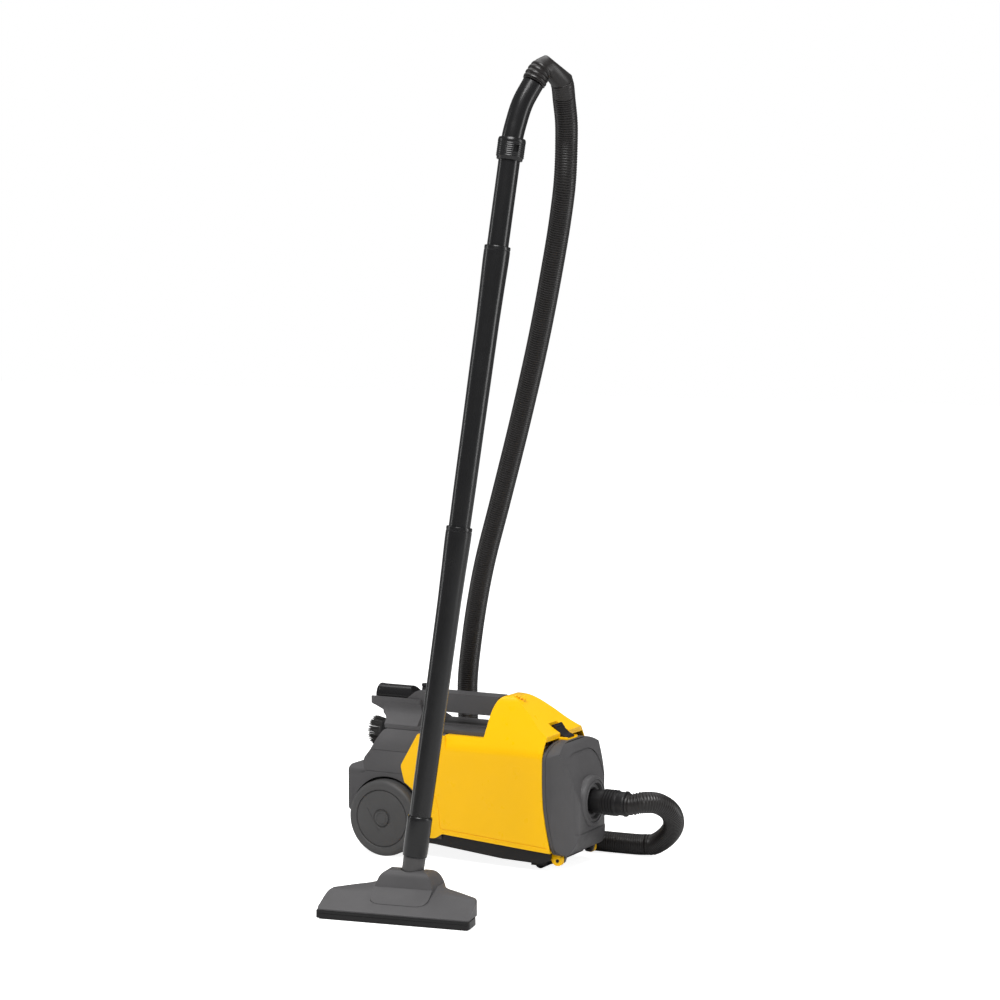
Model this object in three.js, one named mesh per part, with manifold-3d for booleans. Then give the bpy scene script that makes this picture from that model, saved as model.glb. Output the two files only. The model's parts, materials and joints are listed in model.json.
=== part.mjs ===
// Compact canister vacuum cleaner with a hose, a two-piece wand and a floor nozzle.
// Millimetres, +Z up. Inside the canister's own group X points to its front cover, -Y is its
// left side, the rear axle is at x = 0 and the floor is z = 0.
import * as THREE from 'three';
import { mergeVertices } from 'three/addons/utils/BufferGeometryUtils.js';
import Module from 'manifold-3d';

const wasm = await Module();
wasm.setup();

// ---------- driving dimensions ----------
const GAP = 0.3;               // between touching pieces
const ROOT = { x: -143, y: 200 };   // puts the middle of the whole object over the origin

const CASE = {
  half: 78, wall: 2.6, rear: 104, seam: 298, bottomRear: 45, bottomFront: 32,
  shoulder: 190, deck: 204, dome: 267, domeRear: 174, domeFrontTop: 211,
};
const WING = { inner: 75, wheelGap: 70 };
const MOTOR_AXIS_Z = 112;
const WHEEL = { r: 62, width: 36, inner: 55, bore: 4.4 };
const WELL = { r: 66, inner: 51, wall: 3 };
const AXLE_R = 4;
const ROLLER = { x: 264, y: 40, r: 9, width: 14, pin: 2 };
const HINGE = { x: 303, z: 19, pin: 2.7, bore: 3, earInner: 54, earOuter: 62 };
const COVER = { rear: 298.6, front: 340, wall: 2.6 };
const INLET = { z: 107, ringR: 40, tubeR: 20.6, boreR: 17.4 };
const CUFF = { start: 330, end: 395, r: 19.5 };
const HOSE_R = 17;
const HANDLE = { plate: 6, half: 58, barHalf: 17, barLow: 231, barTop: 262, trayTop: 248 };
const TOOL = { z: 250, r: 17, rear: -53, socketEnd: 20, bladeLow: 235.8, bladeTop: 246.8, blade: 13,
  tip: 146 };
const BUTTON = { x: 29, r: 4.4 };
const BRUSH = { x: -34, z: 188, pegR: 13.2, bore: 13.6 };
const WAND_FOOT = new THREE.Vector3(229.8, -398.8, 32);
const WAND_DIR = new THREE.Vector3(0.09254, 0.11355, 0.98921).normalize();
const WAND = { neckTop: 53, socketTop: 113, jointLow: 542, jointHigh: 956, collar: 1082,
  collarTop: 1114.6 };
const TUBE = { r: 16, bore: 14, insert: 55, flareR: 19.3, neckR: 17.4, socketBore: 16.35 };
const NOZZLE = {
  turn: 9.2, half: 119, front: -76, back: -25, band: 13, lowTop: 36, top: 42,
  hoodHalf: 46, hoodFront: -29, hoodBack: 27, hoodTop: 67,
};
const DRUM = { r: 22, half: 21, clear: 0.6 };
const LEAN = { front: -3.4, back: 54, step: 8.2 };   // the neck's slot, in degrees

// ---------- materials ----------
const finish = (color, roughness, metalness = 0) =>
  new THREE.MeshStandardMaterial({ color, roughness, metalness });
const YELLOW = finish(0xf7c400, 0.22);
const CHARCOAL = finish(0x45464a, 0.45);
const BLACK = finish(0x1c1c1e, 0.4);
const GREY = finish(0x6f7074, 0.4);
const RUBBER = finish(0x141414, 0.8);
const STEEL = finish(0xb4b6b8, 0.3, 1);
const PAPER = finish(0xe6dfcf, 0.9);
const CARD = finish(0xb99a6b, 0.85);
const FOAM = finish(0x2d3138, 0.95);

// ---------- solids ----------
/** A closed geometry as a solid; turned inside out if its faces point in. */
function solid(geometry) {
  const g = geometry.clone();
  g.deleteAttribute('normal');
  g.deleteAttribute('uv');
  const merged = mergeVertices(g, 1e-4);
  const at = merged.attributes.position.array;
  const index = merged.index.array;
  const kept = [];
  let volume = 0;
  for (let i = 0; i < index.length; i += 3) {
    const [a, b, c] = [index[i], index[i + 1], index[i + 2]];
    if (a === b || b === c || c === a) continue;
    kept.push(a, b, c);
    const [p, q, r] = [a, b, c].map((k) => new THREE.Vector3().fromArray(at, 3 * k));
    volume += p.dot(q.cross(r));
  }
  if (volume < 0) kept.reverse();
  return new wasm.Manifold(new wasm.Mesh({
    numProp: 3, vertProperties: new Float32Array(at), triVerts: new Uint32Array(kept),
  }));
}

/** A named mesh from a solid. */
function piece(parent, name, shape, material) {
  const m = shape.getMesh();
  const g = new THREE.BufferGeometry();
  g.setAttribute('position', new THREE.BufferAttribute(new Float32Array(m.vertProperties), 3));
  g.setIndex(new THREE.BufferAttribute(new Uint32Array(m.triVerts), 1));
  g.computeVertexNormals();
  const mesh = new THREE.Mesh(g, material);
  mesh.name = name;
  parent.add(mesh);
}

/** An outline from corners [a, b, radius], with each corner rounded. */
function outline(corners) {
  const shape = new THREE.Shape();
  corners.forEach(([x, y, radius = 0], i) => {
    const at = new THREE.Vector2(x, y);
    const before = new THREE.Vector2(...corners[(i + corners.length - 1) % corners.length]);
    const after = new THREE.Vector2(...corners[(i + 1) % corners.length]);
    const cut = (other) => at.clone().add(other.sub(at).setLength(
      Math.min(radius, 0.48 * other.length())));
    const [from, to] = [cut(before), cut(after)];
    if (i === 0) shape.moveTo(from.x, from.y);
    else shape.lineTo(from.x, from.y);
    if (radius > 0) shape.quadraticCurveTo(x, y, to.x, to.y);
  });
  shape.closePath();
  return shape;
}

const PLANE = {
  // each maps the outline's first and second axes and its depth to the object's axes
  xz: new THREE.Matrix4().makeBasis(
    new THREE.Vector3(1, 0, 0), new THREE.Vector3(0, 0, 1), new THREE.Vector3(0, -1, 0)),
  yz: new THREE.Matrix4().makeBasis(
    new THREE.Vector3(0, 1, 0), new THREE.Vector3(0, 0, 1), new THREE.Vector3(1, 0, 0)),
  xy: new THREE.Matrix4(),
};

/** An outline in plane xz, yz or xy, from low to high along the third axis. */
function slab(plane, corners, low, high, curveSegments = 3) {
  const shape = corners instanceof THREE.Shape ? corners : outline(corners);
  const g = new THREE.ExtrudeGeometry(shape, { depth: high - low, bevelEnabled: false, curveSegments });
  if (plane === 'xz') g.translate(0, 0, -high);
  else g.translate(0, 0, low);
  return solid(g.applyMatrix4(PLANE[plane]));
}

const SPIN = {
  x: new THREE.Matrix4().makeBasis(
    new THREE.Vector3(0, 1, 0), new THREE.Vector3(1, 0, 0), new THREE.Vector3(0, 0, -1)),
  y: new THREE.Matrix4(),
  z: new THREE.Matrix4().makeRotationX(Math.PI / 2),
};

/** A profile [radius, height along the axis] turned about axis x, y or z through a point. */
function turned(axis, profile, [x, y, z] = [0, 0, 0], segments = 24) {
  const g = new THREE.LatheGeometry(profile.map(([r, h]) => new THREE.Vector2(r, h)), segments);
  return solid(g.applyMatrix4(SPIN[axis]).translate(x, y, z));
}

const rod = (axis, r, low, high, at, segments = 24) =>
  turned(axis, [[0, low], [r, low], [r, high], [0, high]], at, segments);

const ring = (axis, outer, inner, low, high, at, segments = 24) =>
  turned(axis, [[inner, low], [outer, low], [outer, high], [inner, high], [inner, low]], at, segments);

/** A round bar along a curve through the points; an arc is cut into twice its curve segments. */
function swept(points, r, steps, sides = 12) {
  const path = new THREE.CatmullRomCurve3(points.map((p) => new THREE.Vector3(...p)), false, 'centripetal');
  const section = new THREE.Shape().absarc(0, 0, r, 0, 2 * Math.PI);
  return solid(new THREE.ExtrudeGeometry(section, { extrudePath: path, steps, curveSegments: sides / 2 }));
}

const block = (x0, x1, y0, y1, z0, z1) => solid(
  new THREE.BoxGeometry(x1 - x0, y1 - y0, z1 - z0).translate((x0 + x1) / 2, (y0 + y1) / 2, (z0 + z1) / 2));

const LEFT_RIGHT = [['left', -1], ['right', 1]];

const root = new THREE.Group();
root.position.set(ROOT.x, ROOT.y, 0);

// ---------- dust case: bag chamber, dome and side wings ----------
function chamber(inset) {
  const c = CASE;
  const open = inset > 0 ? 6 : 0;
  const side = slab('xz', [
    [c.rear + inset, c.bottomRear + inset, 4], [c.seam + open, c.bottomFront + inset],
    [c.seam + open, c.domeFrontTop - 2 * inset - open], [270, 223 - 3 * inset, 30],
    [236, 249 - inset, 40], [206, c.dome - inset, 16], [184, c.dome - inset, 14],
    [c.domeRear + inset, 248 - inset, 18], [c.domeRear + inset, c.deck - inset],
    [c.rear + inset, c.deck - inset, 3],
  ], -c.half, c.half, 4);
  const w = c.half - inset;
  const front = slab('yz', [
    [-w, 28 + inset, 9], [w, 28 + inset, 9], [w, c.shoulder, 5], [w - 4, 207, 8], [24, 268 - inset, 14],
    [-24, 268 - inset, 14], [4 - w, 207, 8], [-w, c.shoulder, 5],
  ], c.rear - 2, c.seam + 8);
  return side.intersect(front);
}

function wing(side) {
  const flank = slab('xz', [
    [110, 203.7], [60, 203.7, 4], [28, 149, 5], [38, 112, 2], [60, 60], [64, 36.5, 3], [92, 36.5, 6],
    [104, 45, 3],
    [110, 45],
  ], Math.min(side * WING.inner, side * CASE.half), Math.max(side * WING.inner, side * CASE.half));
  return flank.subtract(rod('y', WING.wheelGap, -100, 100, [0, 0, WHEEL.r], 48));
}

function hingeEar(side) {
  const low = side < 0 ? -HINGE.earOuter : HINGE.earInner;
  const high = low + HINGE.earOuter - HINGE.earInner;
  return slab('xz', [
    [289, 36], [289, 24, 3], [296, 11, 6], [310, 11, 7], [311, 27, 7], [297.9, 29, 1], [297.9, 36],
  ], low, high);
}

const pinHole = rod('y', HINGE.pin + 0.05, -90, 90, [HINGE.x, 0, HINGE.z], 20);
const latchPocket = block(262, 300, -14.5, 14.5, 204.2, 240);
let dustCase = chamber(0).subtract(chamber(CASE.wall));
for (const [, side] of LEFT_RIGHT) dustCase = dustCase.add(wing(side)).add(hingeEar(side));
dustCase = dustCase.add(slab('yz', [[-18, 199.5], [18, 199.5], [18, 207, 2],
  [-18, 207, 2]], 259, CASE.seam))
  .subtract(latchPocket)
  .subtract(pinHole)
  .subtract(rod('x', 34, 100, 112, [0, 0, MOTOR_AXIS_Z], 40));
piece(root, 'dust_case', dustCase, YELLOW);

// ---------- motor housing ----------
function housing(inset) {
  const front = inset > 0 ? 12 : 0;
  const side = slab('xz', [
    [-62 + inset, 36 + inset, 6], [101.5 + front, 36 + inset], [101.5 + front, 203.7 - inset],
    [-12, 203.7 - inset, 6], [-30 + inset, 170, 10], [-42 + inset, 156, 6], [-44 + inset, 146, 8],
    [-40 + inset, 132, 4], [-62 + inset, 124, 3],
  ], -80, 80);
  const w = 74.6 - inset;
  const section = slab('yz', [
    [-w, 30, 8], [w, 30, 8], [w, 184, 14], [58, 206, 8], [-58, 206, 8], [-w, 184, 14],
  ], -90, 120);
  return side.intersect(section);
}

function wells(extra) {
  const disc = (low, high) => rod('y', WELL.r + extra, low, high, [0, 0, WHEEL.r], 40);
  return disc(WELL.inner - extra, 100).add(disc(-100, extra - WELL.inner));
}

/** A profile [radius, height] turned about the brush's axis, with its height towards -X. */
const brushGeometry = (profile) =>
  turned('x', profile.map(([r, h]) => [r, BRUSH.x - h]), [0, 0, BRUSH.z]);

const GLAND_Z = 49.4;
const exhaustBox = slab('xz', [
  [-84, 64, 5], [-58, 58], [-58, 110], [-38, 118], [-38, 143], [-56, 143, 6], [-84, 138, 6],
], -54, 54).intersect(slab('yz', [
  [-54, 50], [54, 50], [54, 131, 3], [40, 144, 3], [-40, 144, 3], [-54, 131, 3],
], -90, -30));
const motorHousing = housing(0).subtract(wells(0)).add(exhaustBox)
  .subtract(housing(3).subtract(wells(WELL.wall)))
  .subtract(block(-81, -50, -47, 47, 70, 130))
  .subtract(block(-86, -80, -44, 44, 74, 126))
  .add(rod('x', BRUSH.pegR, -44, -5, [0, 0, BRUSH.z], 32))
  .subtract(rod('y', AXLE_R + 0.3, -60, 60, [0, 0, WHEEL.r], 20))
  .subtract(rod('x', 6.4, -70, -50, [0, 38, GLAND_Z], 20));
piece(root, 'motor_housing', motorHousing, CHARCOAL);

piece(root, 'exhaust_filter', slab('yz', [[-46.6, 70.4, 4], [46.6, 70.4, 4], [46.6, 129.6, 4],
  [-46.6, 129.6, 4]], -77.5, -66), FOAM);
let grille = slab('yz', [[-43.6, 74.4, 3], [43.6, 74.4, 3], [43.6, 125.6, 3],
  [-43.6, 125.6, 3]], -84.5, -81);
for (let k = 0; k < 6; k += 1) {
  const z = 79 + 7.6 * k;
  grille = grille.subtract(block(-90, -78, -38, 38, z, z + 3.6));
}
piece(root, 'exhaust_grille', grille, BLACK);
piece(root, 'cord_gland', turned('x', [
  [0, -57], [6, -57], [6, -62.4], [7.8, -62.4], [7, -76], [4.2, -76], [4.2, -64], [0, -64],
], [0, 38, GLAND_Z], 20), RUBBER);

// ---------- base pan ----------
/** One layer of the pan, whose underside is raised by lift and whose sides stand at +-half. */
const panLayer = (half, lift) => slab('xz', [
  [-58, 25 + lift, 6], [77, 21 + lift], [200, 10 + lift], [283, 8 + lift, 4], [296, 14 + lift, 4], [296, 31.6],
  [104.4, 44.2], [102.6, 35.7], [-58, 35.7, 3],
], -half, half);
let basePan = panLayer(74, 6.5).add(panLayer(64, 3.5)).add(panLayer(52, 0))
  .subtract(wells(0))
  .subtract(block(280, 300, -68, -46, 0, 40))
  .subtract(block(280, 300, 46, 68, 0, 40));
for (const [, side] of LEFT_RIGHT) {
  const y = side * ROLLER.y;
  basePan = basePan
    .add(block(ROLLER.x - 13, ROLLER.x + 13, y - 11.5, y + 11.5, 5.5, 20))
    .subtract(block(ROLLER.x - 12, ROLLER.x + 12, y - 8.2, y + 8.2, -5, 21))
    .subtract(rod('y', ROLLER.pin + 0.1, y - 11, y + 11, [ROLLER.x, 0, ROLLER.r], 16))
    .subtract(block(ROLLER.x - ROLLER.pin, ROLLER.x + ROLLER.pin, y - 11, y + 11, 0, ROLLER.r));
}
const SCREWS = [[80, -40, 22.6], [80, 40, 22.6], [225, -40, 15.6], [225, 40, 15.6]];
for (const [x, y, z] of SCREWS) basePan = basePan.subtract(rod('z', 4.4, 0, z + 5.4, [x, y, 0], 16));
piece(root, 'base_pan', basePan, BLACK);
SCREWS.forEach(([x, y, z], i) => {
  const head = turned('z', [[0, 0], [4, 0], [4, 2.4], [2, 2.4], [2, 5], [0, 5]], [x, y, z], 16)
    .subtract(block(x - 2.6, x + 2.6, y - 0.5, y + 0.5, z - 1, z + 1.2))
    .subtract(block(x - 0.5, x + 0.5, y - 2.6, y + 2.6, z - 1, z + 1.2));
  piece(root, `base_screw_${i + 1}`, head, STEEL);
});

// ---------- wheels and rollers ----------
piece(root, 'rear_axle', rod('y', AXLE_R, -84, 84, [0, 0, WHEEL.r], 20), STEEL);
for (const [name, side] of LEFT_RIGHT) {
  const lathe = (profile, segments) => turned('y', profile.map(([r, h]) => [r, side * h]), [0, 0,
    WHEEL.r], segments);
  const { inner, width, r, bore } = WHEEL;
  const outer = inner + width;
  piece(root, `rear_wheel_${name}`, lathe([
    [bore, inner], [14, inner], [14, inner + 8], [48, inner + 8], [50, inner], [r, inner],
    [r, outer - 4], [58, outer], [47, outer], [46, outer - 2], [12.6, outer - 2], [12.6, outer - 6],
    [bore, outer - 6], [bore, inner],
  ], 40), CHARCOAL);
  piece(root, `hub_cap_${name}`, lathe([
    [0, outer - 5.7], [12.3, outer - 5.7], [12.3, outer], [11, outer + 1], [0, outer + 1],
  ], 24), CHARCOAL);
  const at = [ROLLER.x, side * ROLLER.y, ROLLER.r];
  piece(root, `front_roller_${name}`, turned('y', [
    [ROLLER.pin + 0.2, -ROLLER.width / 2], [ROLLER.r - 1, -ROLLER.width / 2],
    [ROLLER.r, 1 - ROLLER.width / 2],
    [ROLLER.r, ROLLER.width / 2 - 1], [ROLLER.r - 1, ROLLER.width / 2],
    [ROLLER.pin + 0.2, ROLLER.width / 2],
    [ROLLER.pin + 0.2, -ROLLER.width / 2],
  ], at, 20), RUBBER);
  piece(root, `roller_pin_${name}`, rod('y', ROLLER.pin - 0.1, -10.6, 10.6, at, 16), STEEL);
}

// ---------- carry handle with its post and tool tray ----------
function carryHandle() {
  const h = HANDLE;
  const base = CASE.deck + GAP;
  const plate = slab('xy', [[-10, -h.half, 14], [173.4, -h.half, 4], [173.4, h.half, 4], [-10, h.half, 14]],
    base, base + h.plate);
  const frame = outline([
    [-12, base], [173.4, base], [173.4, h.barTop, 2], [44, h.barTop, 2], [30, 254, 2], [30, h.trayTop, 2],
    [-40, h.trayTop, 2], [-32, 226, 6], [-16, 219, 8],
  ]);
  frame.holes.push(outline([[54, 211.5, 8], [162, 211.5, 6], [166, h.barLow, 5], [54, h.barLow, 8]]));
  const tray = slab('xy', [[-61, -26, 12], [36, -26, 8], [36, 26, 8], [-61, 26, 12]], 225, h.trayTop)
    .intersect(slab('xz', [
      [-61, h.trayTop, 2], [-61, 238, 6], [-48, 234, 4], [-30, 226], [36, 226], [36, h.trayTop],
    ], -30, 30));
  const taper = slab('yz', [[-58, 200], [58, 200], [58, 211, 2], [27, 229, 8], [27, 252, 4], [-27, 252, 4],
    [-27, 229, 8], [-58, 211, 2]], -70, 60);
  const post = slab('xz', [[-12, base], [50, base], [36, 240], [-34, 240], [-32, 226, 6], [-16, 219, 8]], -58, 58)
    .intersect(taper);
  const ramp = slab('xz', [[4, 240], [44, 240], [44, h.barTop, 3], [25, h.barTop, 4], [5, 247]], -20, 20);
  const toolHole = rod('x', TOOL.r + 0.5, -90, TOOL.socketEnd + 1, [0, 0, TOOL.z], 32)
    .add(block(-90, TOOL.tip + 2, -TOOL.blade - 0.5, TOOL.blade + 0.5, TOOL.bladeLow - 0.5, TOOL.bladeTop + 0.5));
  return plate.add(slab('xz', frame, -h.barHalf, h.barHalf)).add(tray).add(post).add(ramp)
    .subtract(toolHole).subtract(rod('z', BUTTON.r + 0.7, 250.5, 400, [BUTTON.x, 0, 0], 20));
}
piece(root, 'carry_handle', carryHandle(), CHARCOAL);
piece(root, 'power_button', turned('z', [
  [0, 253.8], [BUTTON.r, 253.8], [BUTTON.r, 265], [3.8, 266.4], [4.9, 267.6], [4.9, 270.6], [3.8, 272], [0, 272],
], [BUTTON.x, 0, 0], 20), BLACK);
piece(root, 'switch_body', block(27, 53, -9, 9, 176, 200), BLACK);

// ---------- stored tools ----------
function creviceTool() {
  const socket = ring('x', TOOL.r, 14.6, TOOL.rear, TOOL.socketEnd - 14, [0, 0, TOOL.z]);
  const shoulder = rod('x', TOOL.r, TOOL.socketEnd - 16, TOOL.socketEnd, [0, 0, TOOL.z]).intersect(
    slab('xz', [[TOOL.socketEnd - 16, 230], [TOOL.socketEnd, 230], [TOOL.socketEnd, TOOL.bladeTop + 2],
      [TOOL.socketEnd - 16, 270]], -20, 20));
  const blade = slab('xz', [[TOOL.socketEnd - 4, TOOL.bladeLow], [TOOL.tip - 14, TOOL.bladeLow],
    [TOOL.tip, TOOL.bladeTop], [TOOL.socketEnd - 4, TOOL.bladeTop]], -TOOL.blade, TOOL.blade);
  const bore = slab('xz', [[TOOL.socketEnd - 18, TOOL.bladeLow + 2], [TOOL.tip + 9, TOOL.bladeLow + 2],
    [TOOL.tip + 9, TOOL.bladeTop - 2], [TOOL.socketEnd - 18, TOOL.bladeTop - 2]], 2 - TOOL.blade,
    TOOL.blade - 2);
  return socket.add(shoulder).add(blade).subtract(bore);
}
piece(root, 'crevice_tool', creviceTool(), BLACK);
piece(root, 'brush_body', brushGeometry([
  [BRUSH.bore, 0], [18, 0], [18, 1], [20, 2], [20, 10], [19.4, 11], [BRUSH.bore, 11], [BRUSH.bore, 0],
]), BLACK);
piece(root, 'brush_bristles', brushGeometry([[14, 11.3], [19.4, 11.3], [24.3, 33], [17, 33], [14, 11.3]]), FOAM);

// ---------- motor, fan and filters ----------
const onMotor = [0, 0, MOTOR_AXIS_Z];
piece(root, 'motor_stator', ring('x', 40, 24.6, -8, 48, onMotor, 28), STEEL);
piece(root, 'motor_end_cap', turned('x', [
  [4.3, -30], [14, -30], [16, -22], [40, -18], [40, -8.3], [36, -8.3], [36, -13], [4.3, -16], [4.3, -30],
], onMotor, 28), BLACK);
piece(root, 'motor_rotor', turned('x', [
  [0, -27], [AXLE_R, -27], [AXLE_R, -8], [12, -7.5], [12, -5], [23.6, -5], [23.6, 45], [AXLE_R, 46],
  [AXLE_R, 84],
  [0, 84],
], onMotor, 24), STEEL);
let fan = ring('x', 42, 4.2, 60, 62.5, onMotor, 28).add(ring('x', 10, 4.2, 60, 82, onMotor, 16))
  .add(ring('x', 42, 18, 79.5, 82, onMotor, 28));
for (let k = 0; k < 8; k += 1) {
  const blade = block(62, 80, 9.4, 41.6, -1, 1).rotate([45 * k, 0, 0]).translate([0, 0, MOTOR_AXIS_Z]);
  fan = fan.add(blade);
}
piece(root, 'fan_impeller', fan, STEEL);
piece(root, 'fan_shroud', turned('x', [
  [30, 52], [46, 52], [48, 54], [48, 99], [56, 99], [56, 103.6], [34.5, 103.6], [34.5, 99], [45, 99],
  [45, 55], [30, 55],
  [30, 52],
], onMotor, 28), BLACK);
piece(root, 'motor_filter', rod('x', 38, 107.2, 113, onMotor, 28), FOAM);

// ---------- dust bag ----------
piece(root, 'dust_bag', slab('xz', [
  [118, 58, 26], [280, 46, 14], [283, 120, 20], [280, 188, 18], [200, 198, 20], [118, 192, 26],
], -66, 66).intersect(slab('xy', [
  [118, -60, 26], [200, -68, 40], [283, -54, 26], [283, 54, 26], [200, 68, 40], [118, 60, 26],
], 30, 210)), PAPER);
piece(root, 'bag_collar', slab('yz', [[-42, 62, 5], [42, 62, 5], [42, 152, 5], [-42, 152, 5]], 284, 287)
  .subtract(rod('x', 21, 280, 290, [0, 0, INLET.z])), CARD);
piece(root, 'bag_mount', slab('yz', [[-75, 58, 3], [75, 58, 3], [75, 156, 3], [-75, 156, 3]], 287.3, 290)
  .subtract(rod('x', 25, 280, 295, [0, 0, INLET.z])), BLACK);

// ---------- front cover ----------
function coverShell(inset) {
  const back = COVER.rear - (inset > 0 ? 5 : 0);
  const side = slab('xz', [
    [back, 26 + inset], [322 - inset, 24 + inset, 20], [337 - inset, 62, 34], [337 - inset, 100, 40],
    [326 - inset, 150, 60], [307 - inset, 207.6 - inset, 10], [back, 207.6 - inset],
  ], -90, 90, 4);
  const w = CASE.half - inset;
  const top = slab('xy', [
    [back, -w], [306, -w, 14], [324 - inset, -62, 26], [COVER.front - inset, -32, 30],
    [COVER.front - inset, 32, 30], [324 - inset, 62, 26], [306, w, 14], [back, w],
  ], 0, 240, 4);
  const face = slab('yz', [
    [-w + 4, 26 + inset, 22], [w - 4, 26 + inset, 22], [w, 120, 60], [w - 4, 190 - inset, 30],
    [50, 209 - inset, 24], [-50, 209 - inset, 24], [4 - w, 190 - inset, 30], [-w, 120, 60],
  ], 280, 360, 4);
  return side.intersect(top).intersect(face);
}

function knuckle(side) {
  const [low, high] = side < 0 ? [-53.5, -47] : [47, 53.5];
  return slab('xz', [
    [HINGE.x - 6.5, HINGE.z - 6, 5], [HINGE.x + 6.5, HINGE.z - 6, 5], [HINGE.x + 12, 34, 3],
    [HINGE.x - 1, 34, 2],
    [HINGE.x - 6.5, HINGE.z + 6, 4],
  ], low, high);
}

const earRoom = block(280, 313, 53.7, 62.3, 8, 30).add(block(280, 313, -62.3, -53.7, 8, 30));
let frontCover = coverShell(0).subtract(coverShell(COVER.wall));
for (const [, side] of LEFT_RIGHT) frontCover = frontCover.add(knuckle(side));
frontCover = frontCover
  .subtract(rod('y', HINGE.bore, -90, 90, [HINGE.x, 0, HINGE.z], 20))
  .subtract(earRoom)
  .subtract(rod('x', 24.2, 305, 360, [0, 0, INLET.z], 32))
  .subtract(rod('x', INLET.ringR + GAP, 325.7, 360, [0, 0, INLET.z], 32));
piece(root, 'front_cover', frontCover, CHARCOAL);
for (const [name, side] of LEFT_RIGHT) {
  piece(root, `hinge_pin_${name}`, rod('y', HINGE.pin, Math.min(46.6 * side, 63 * side),
    Math.max(46.6 * side, 63 * side), [HINGE.x, 0, HINGE.z], 20), BLACK);
}
const sealLine = (inset) => slab('yz', [
  [-69 + inset, 34.5 + inset, 20], [69 - inset, 34.5 + inset, 20], [74 - inset, 120, 60], [70 - inset, 184 - inset, 30],
  [47 - inset, 203 - inset, 24], [inset - 47, 203 - inset, 24], [inset - 70, 184 - inset, 30],
  [inset - 74, 120, 60],
], 299.2, 303.2);
piece(root, 'cover_gasket', sealLine(0.5).subtract(sealLine(5)), RUBBER);
piece(root, 'inlet_ring', turned('x', [
  [INLET.boreR, 286], [19.6, 286], [19.6, 318], [23.8, 318], [23.8, 326], [INLET.ringR, 326], [INLET.ringR, 335.4],
  [36, 338], [28, 338.4], [26, 334], [INLET.tubeR, 334], [INLET.tubeR, 331], [INLET.boreR, 329],
  [INLET.boreR, 286],
], [0, 0, INLET.z], 32), CHARCOAL);

// ---------- cover latch ----------
piece(root, 'cover_latch', slab('xz', [
  [266, 210.5, 1], [276, 205.4, 2], [290, 209.4, 2], [308, 209.4, 1], [308, 213.5, 2], [286, 217, 3],
  [270, 226, 3],
  [266, 222, 2],
], -13.8, 13.8).subtract(rod('y', 1.9, -20, 20, [276, 0, 209.5], 16)), BLACK);
piece(root, 'latch_pin', rod('y', 1.7, -14.3, 14.3, [276, 0, 209.5], 16), STEEL);

// ---------- wand and handle ----------
const wand = new THREE.Group();
wand.position.copy(WAND_FOOT);
wand.quaternion.setFromUnitVectors(new THREE.Vector3(0, 0, 1), WAND_DIR);
root.add(wand);
const column = (profile, segments = 28) =>
  solid(new THREE.LatheGeometry(profile.map(([r, h]) => new THREE.Vector2(r, h)), segments)
    .rotateX(Math.PI / 2));

/** A wand that narrows from its flared top socket to the end that plugs into the piece below. */
function wandTube(low, high) {
  const t = TUBE;
  const foot = low - t.insert;
  return column([
    [t.bore, foot], [t.r - 0.1, foot], [t.r, low], [t.r + 0.5, low + 60], [t.neckR, high - 110],
    [t.flareR, high - 20],
    [t.flareR, high - 1], [t.flareR - 1, high], [t.socketBore, high], [t.socketBore, high - t.insert - 2],
    [t.bore, high - t.insert - 6], [t.bore, foot],
  ]);
}
piece(wand, 'lower_wand', wandTube(WAND.socketTop, WAND.jointLow), BLACK);
piece(wand, 'upper_wand', wandTube(WAND.jointLow + GAP, WAND.jointHigh), BLACK);
piece(wand, 'neck_socket', column([
  [16.8, WAND.neckTop + GAP], [18, WAND.neckTop + GAP], [18.3, WAND.neckTop + 6],
  [18.6, WAND.socketTop - 2],
  [17.8, WAND.socketTop - GAP], [16.4, WAND.socketTop - GAP], [16.4, WAND.neckTop + 3],
  [16.8, WAND.neckTop + GAP],
]), BLACK);
piece(wand, 'suction_collar', column([
  [16.5, WAND.collar], [19.4, WAND.collar], [20.6, WAND.collar + 2], [20.6, WAND.collarTop - 3],
  [19, WAND.collarTop - GAP], [16.5, WAND.collarTop - GAP], [16.5, WAND.collar],
]), BLACK);

/** The handle tube: a straight tail down inside the upper wand and a bent grip above the collar. */
const onWand = (s) => WAND_DIR.clone().multiplyScalar(s).add(WAND_FOOT).toArray();
const GRIP_END = [356, -250, 1215];
function handleTube() {
  const route = [WAND.jointHigh - 54, WAND.jointHigh, 1020, 1070, WAND.collarTop].map(onWand).concat(
    [[337, -267.5, 1158], [344, -261, 1186], GRIP_END]);
  const bar = swept(route, TUBE.r - 0.1, 18, 16);
  const bore = swept([onWand(WAND.jointHigh - 80), ...route.slice(1, -1), GRIP_END, [370, -236, 1243]],
    TUBE.bore, 18, 16);
  return bar.subtract(bore);
}
piece(root, 'handle_tube', handleTube(), BLACK);

// ---------- floor nozzle ----------
const nozzle = new THREE.Group();
nozzle.position.copy(WAND_FOOT);
nozzle.rotation.z = NOZZLE.turn * Math.PI / 180;
root.add(nozzle);
const FLOOR = -WAND_FOOT.z;
/** The nozzle seen from above: a straight front, short ends and a middle that runs back under the hood. */
const footprint = (inset, endBack, middleHalf) => [
  [inset - NOZZLE.half, NOZZLE.front + inset, 5], [NOZZLE.half - inset, NOZZLE.front + inset, 5],
  [NOZZLE.half - 2 - inset, endBack - inset, 9], [middleHalf + 10 - inset, endBack + 19 - inset, 12],
  [middleHalf - 2 - inset, NOZZLE.hoodBack - 2 - inset, 8],
  [2 - middleHalf + inset, NOZZLE.hoodBack - 2 - inset, 8],
  [inset - middleHalf - 10, endBack + 19 - inset, 12], [2 - NOZZLE.half + inset, endBack - inset, 9],
];
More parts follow.
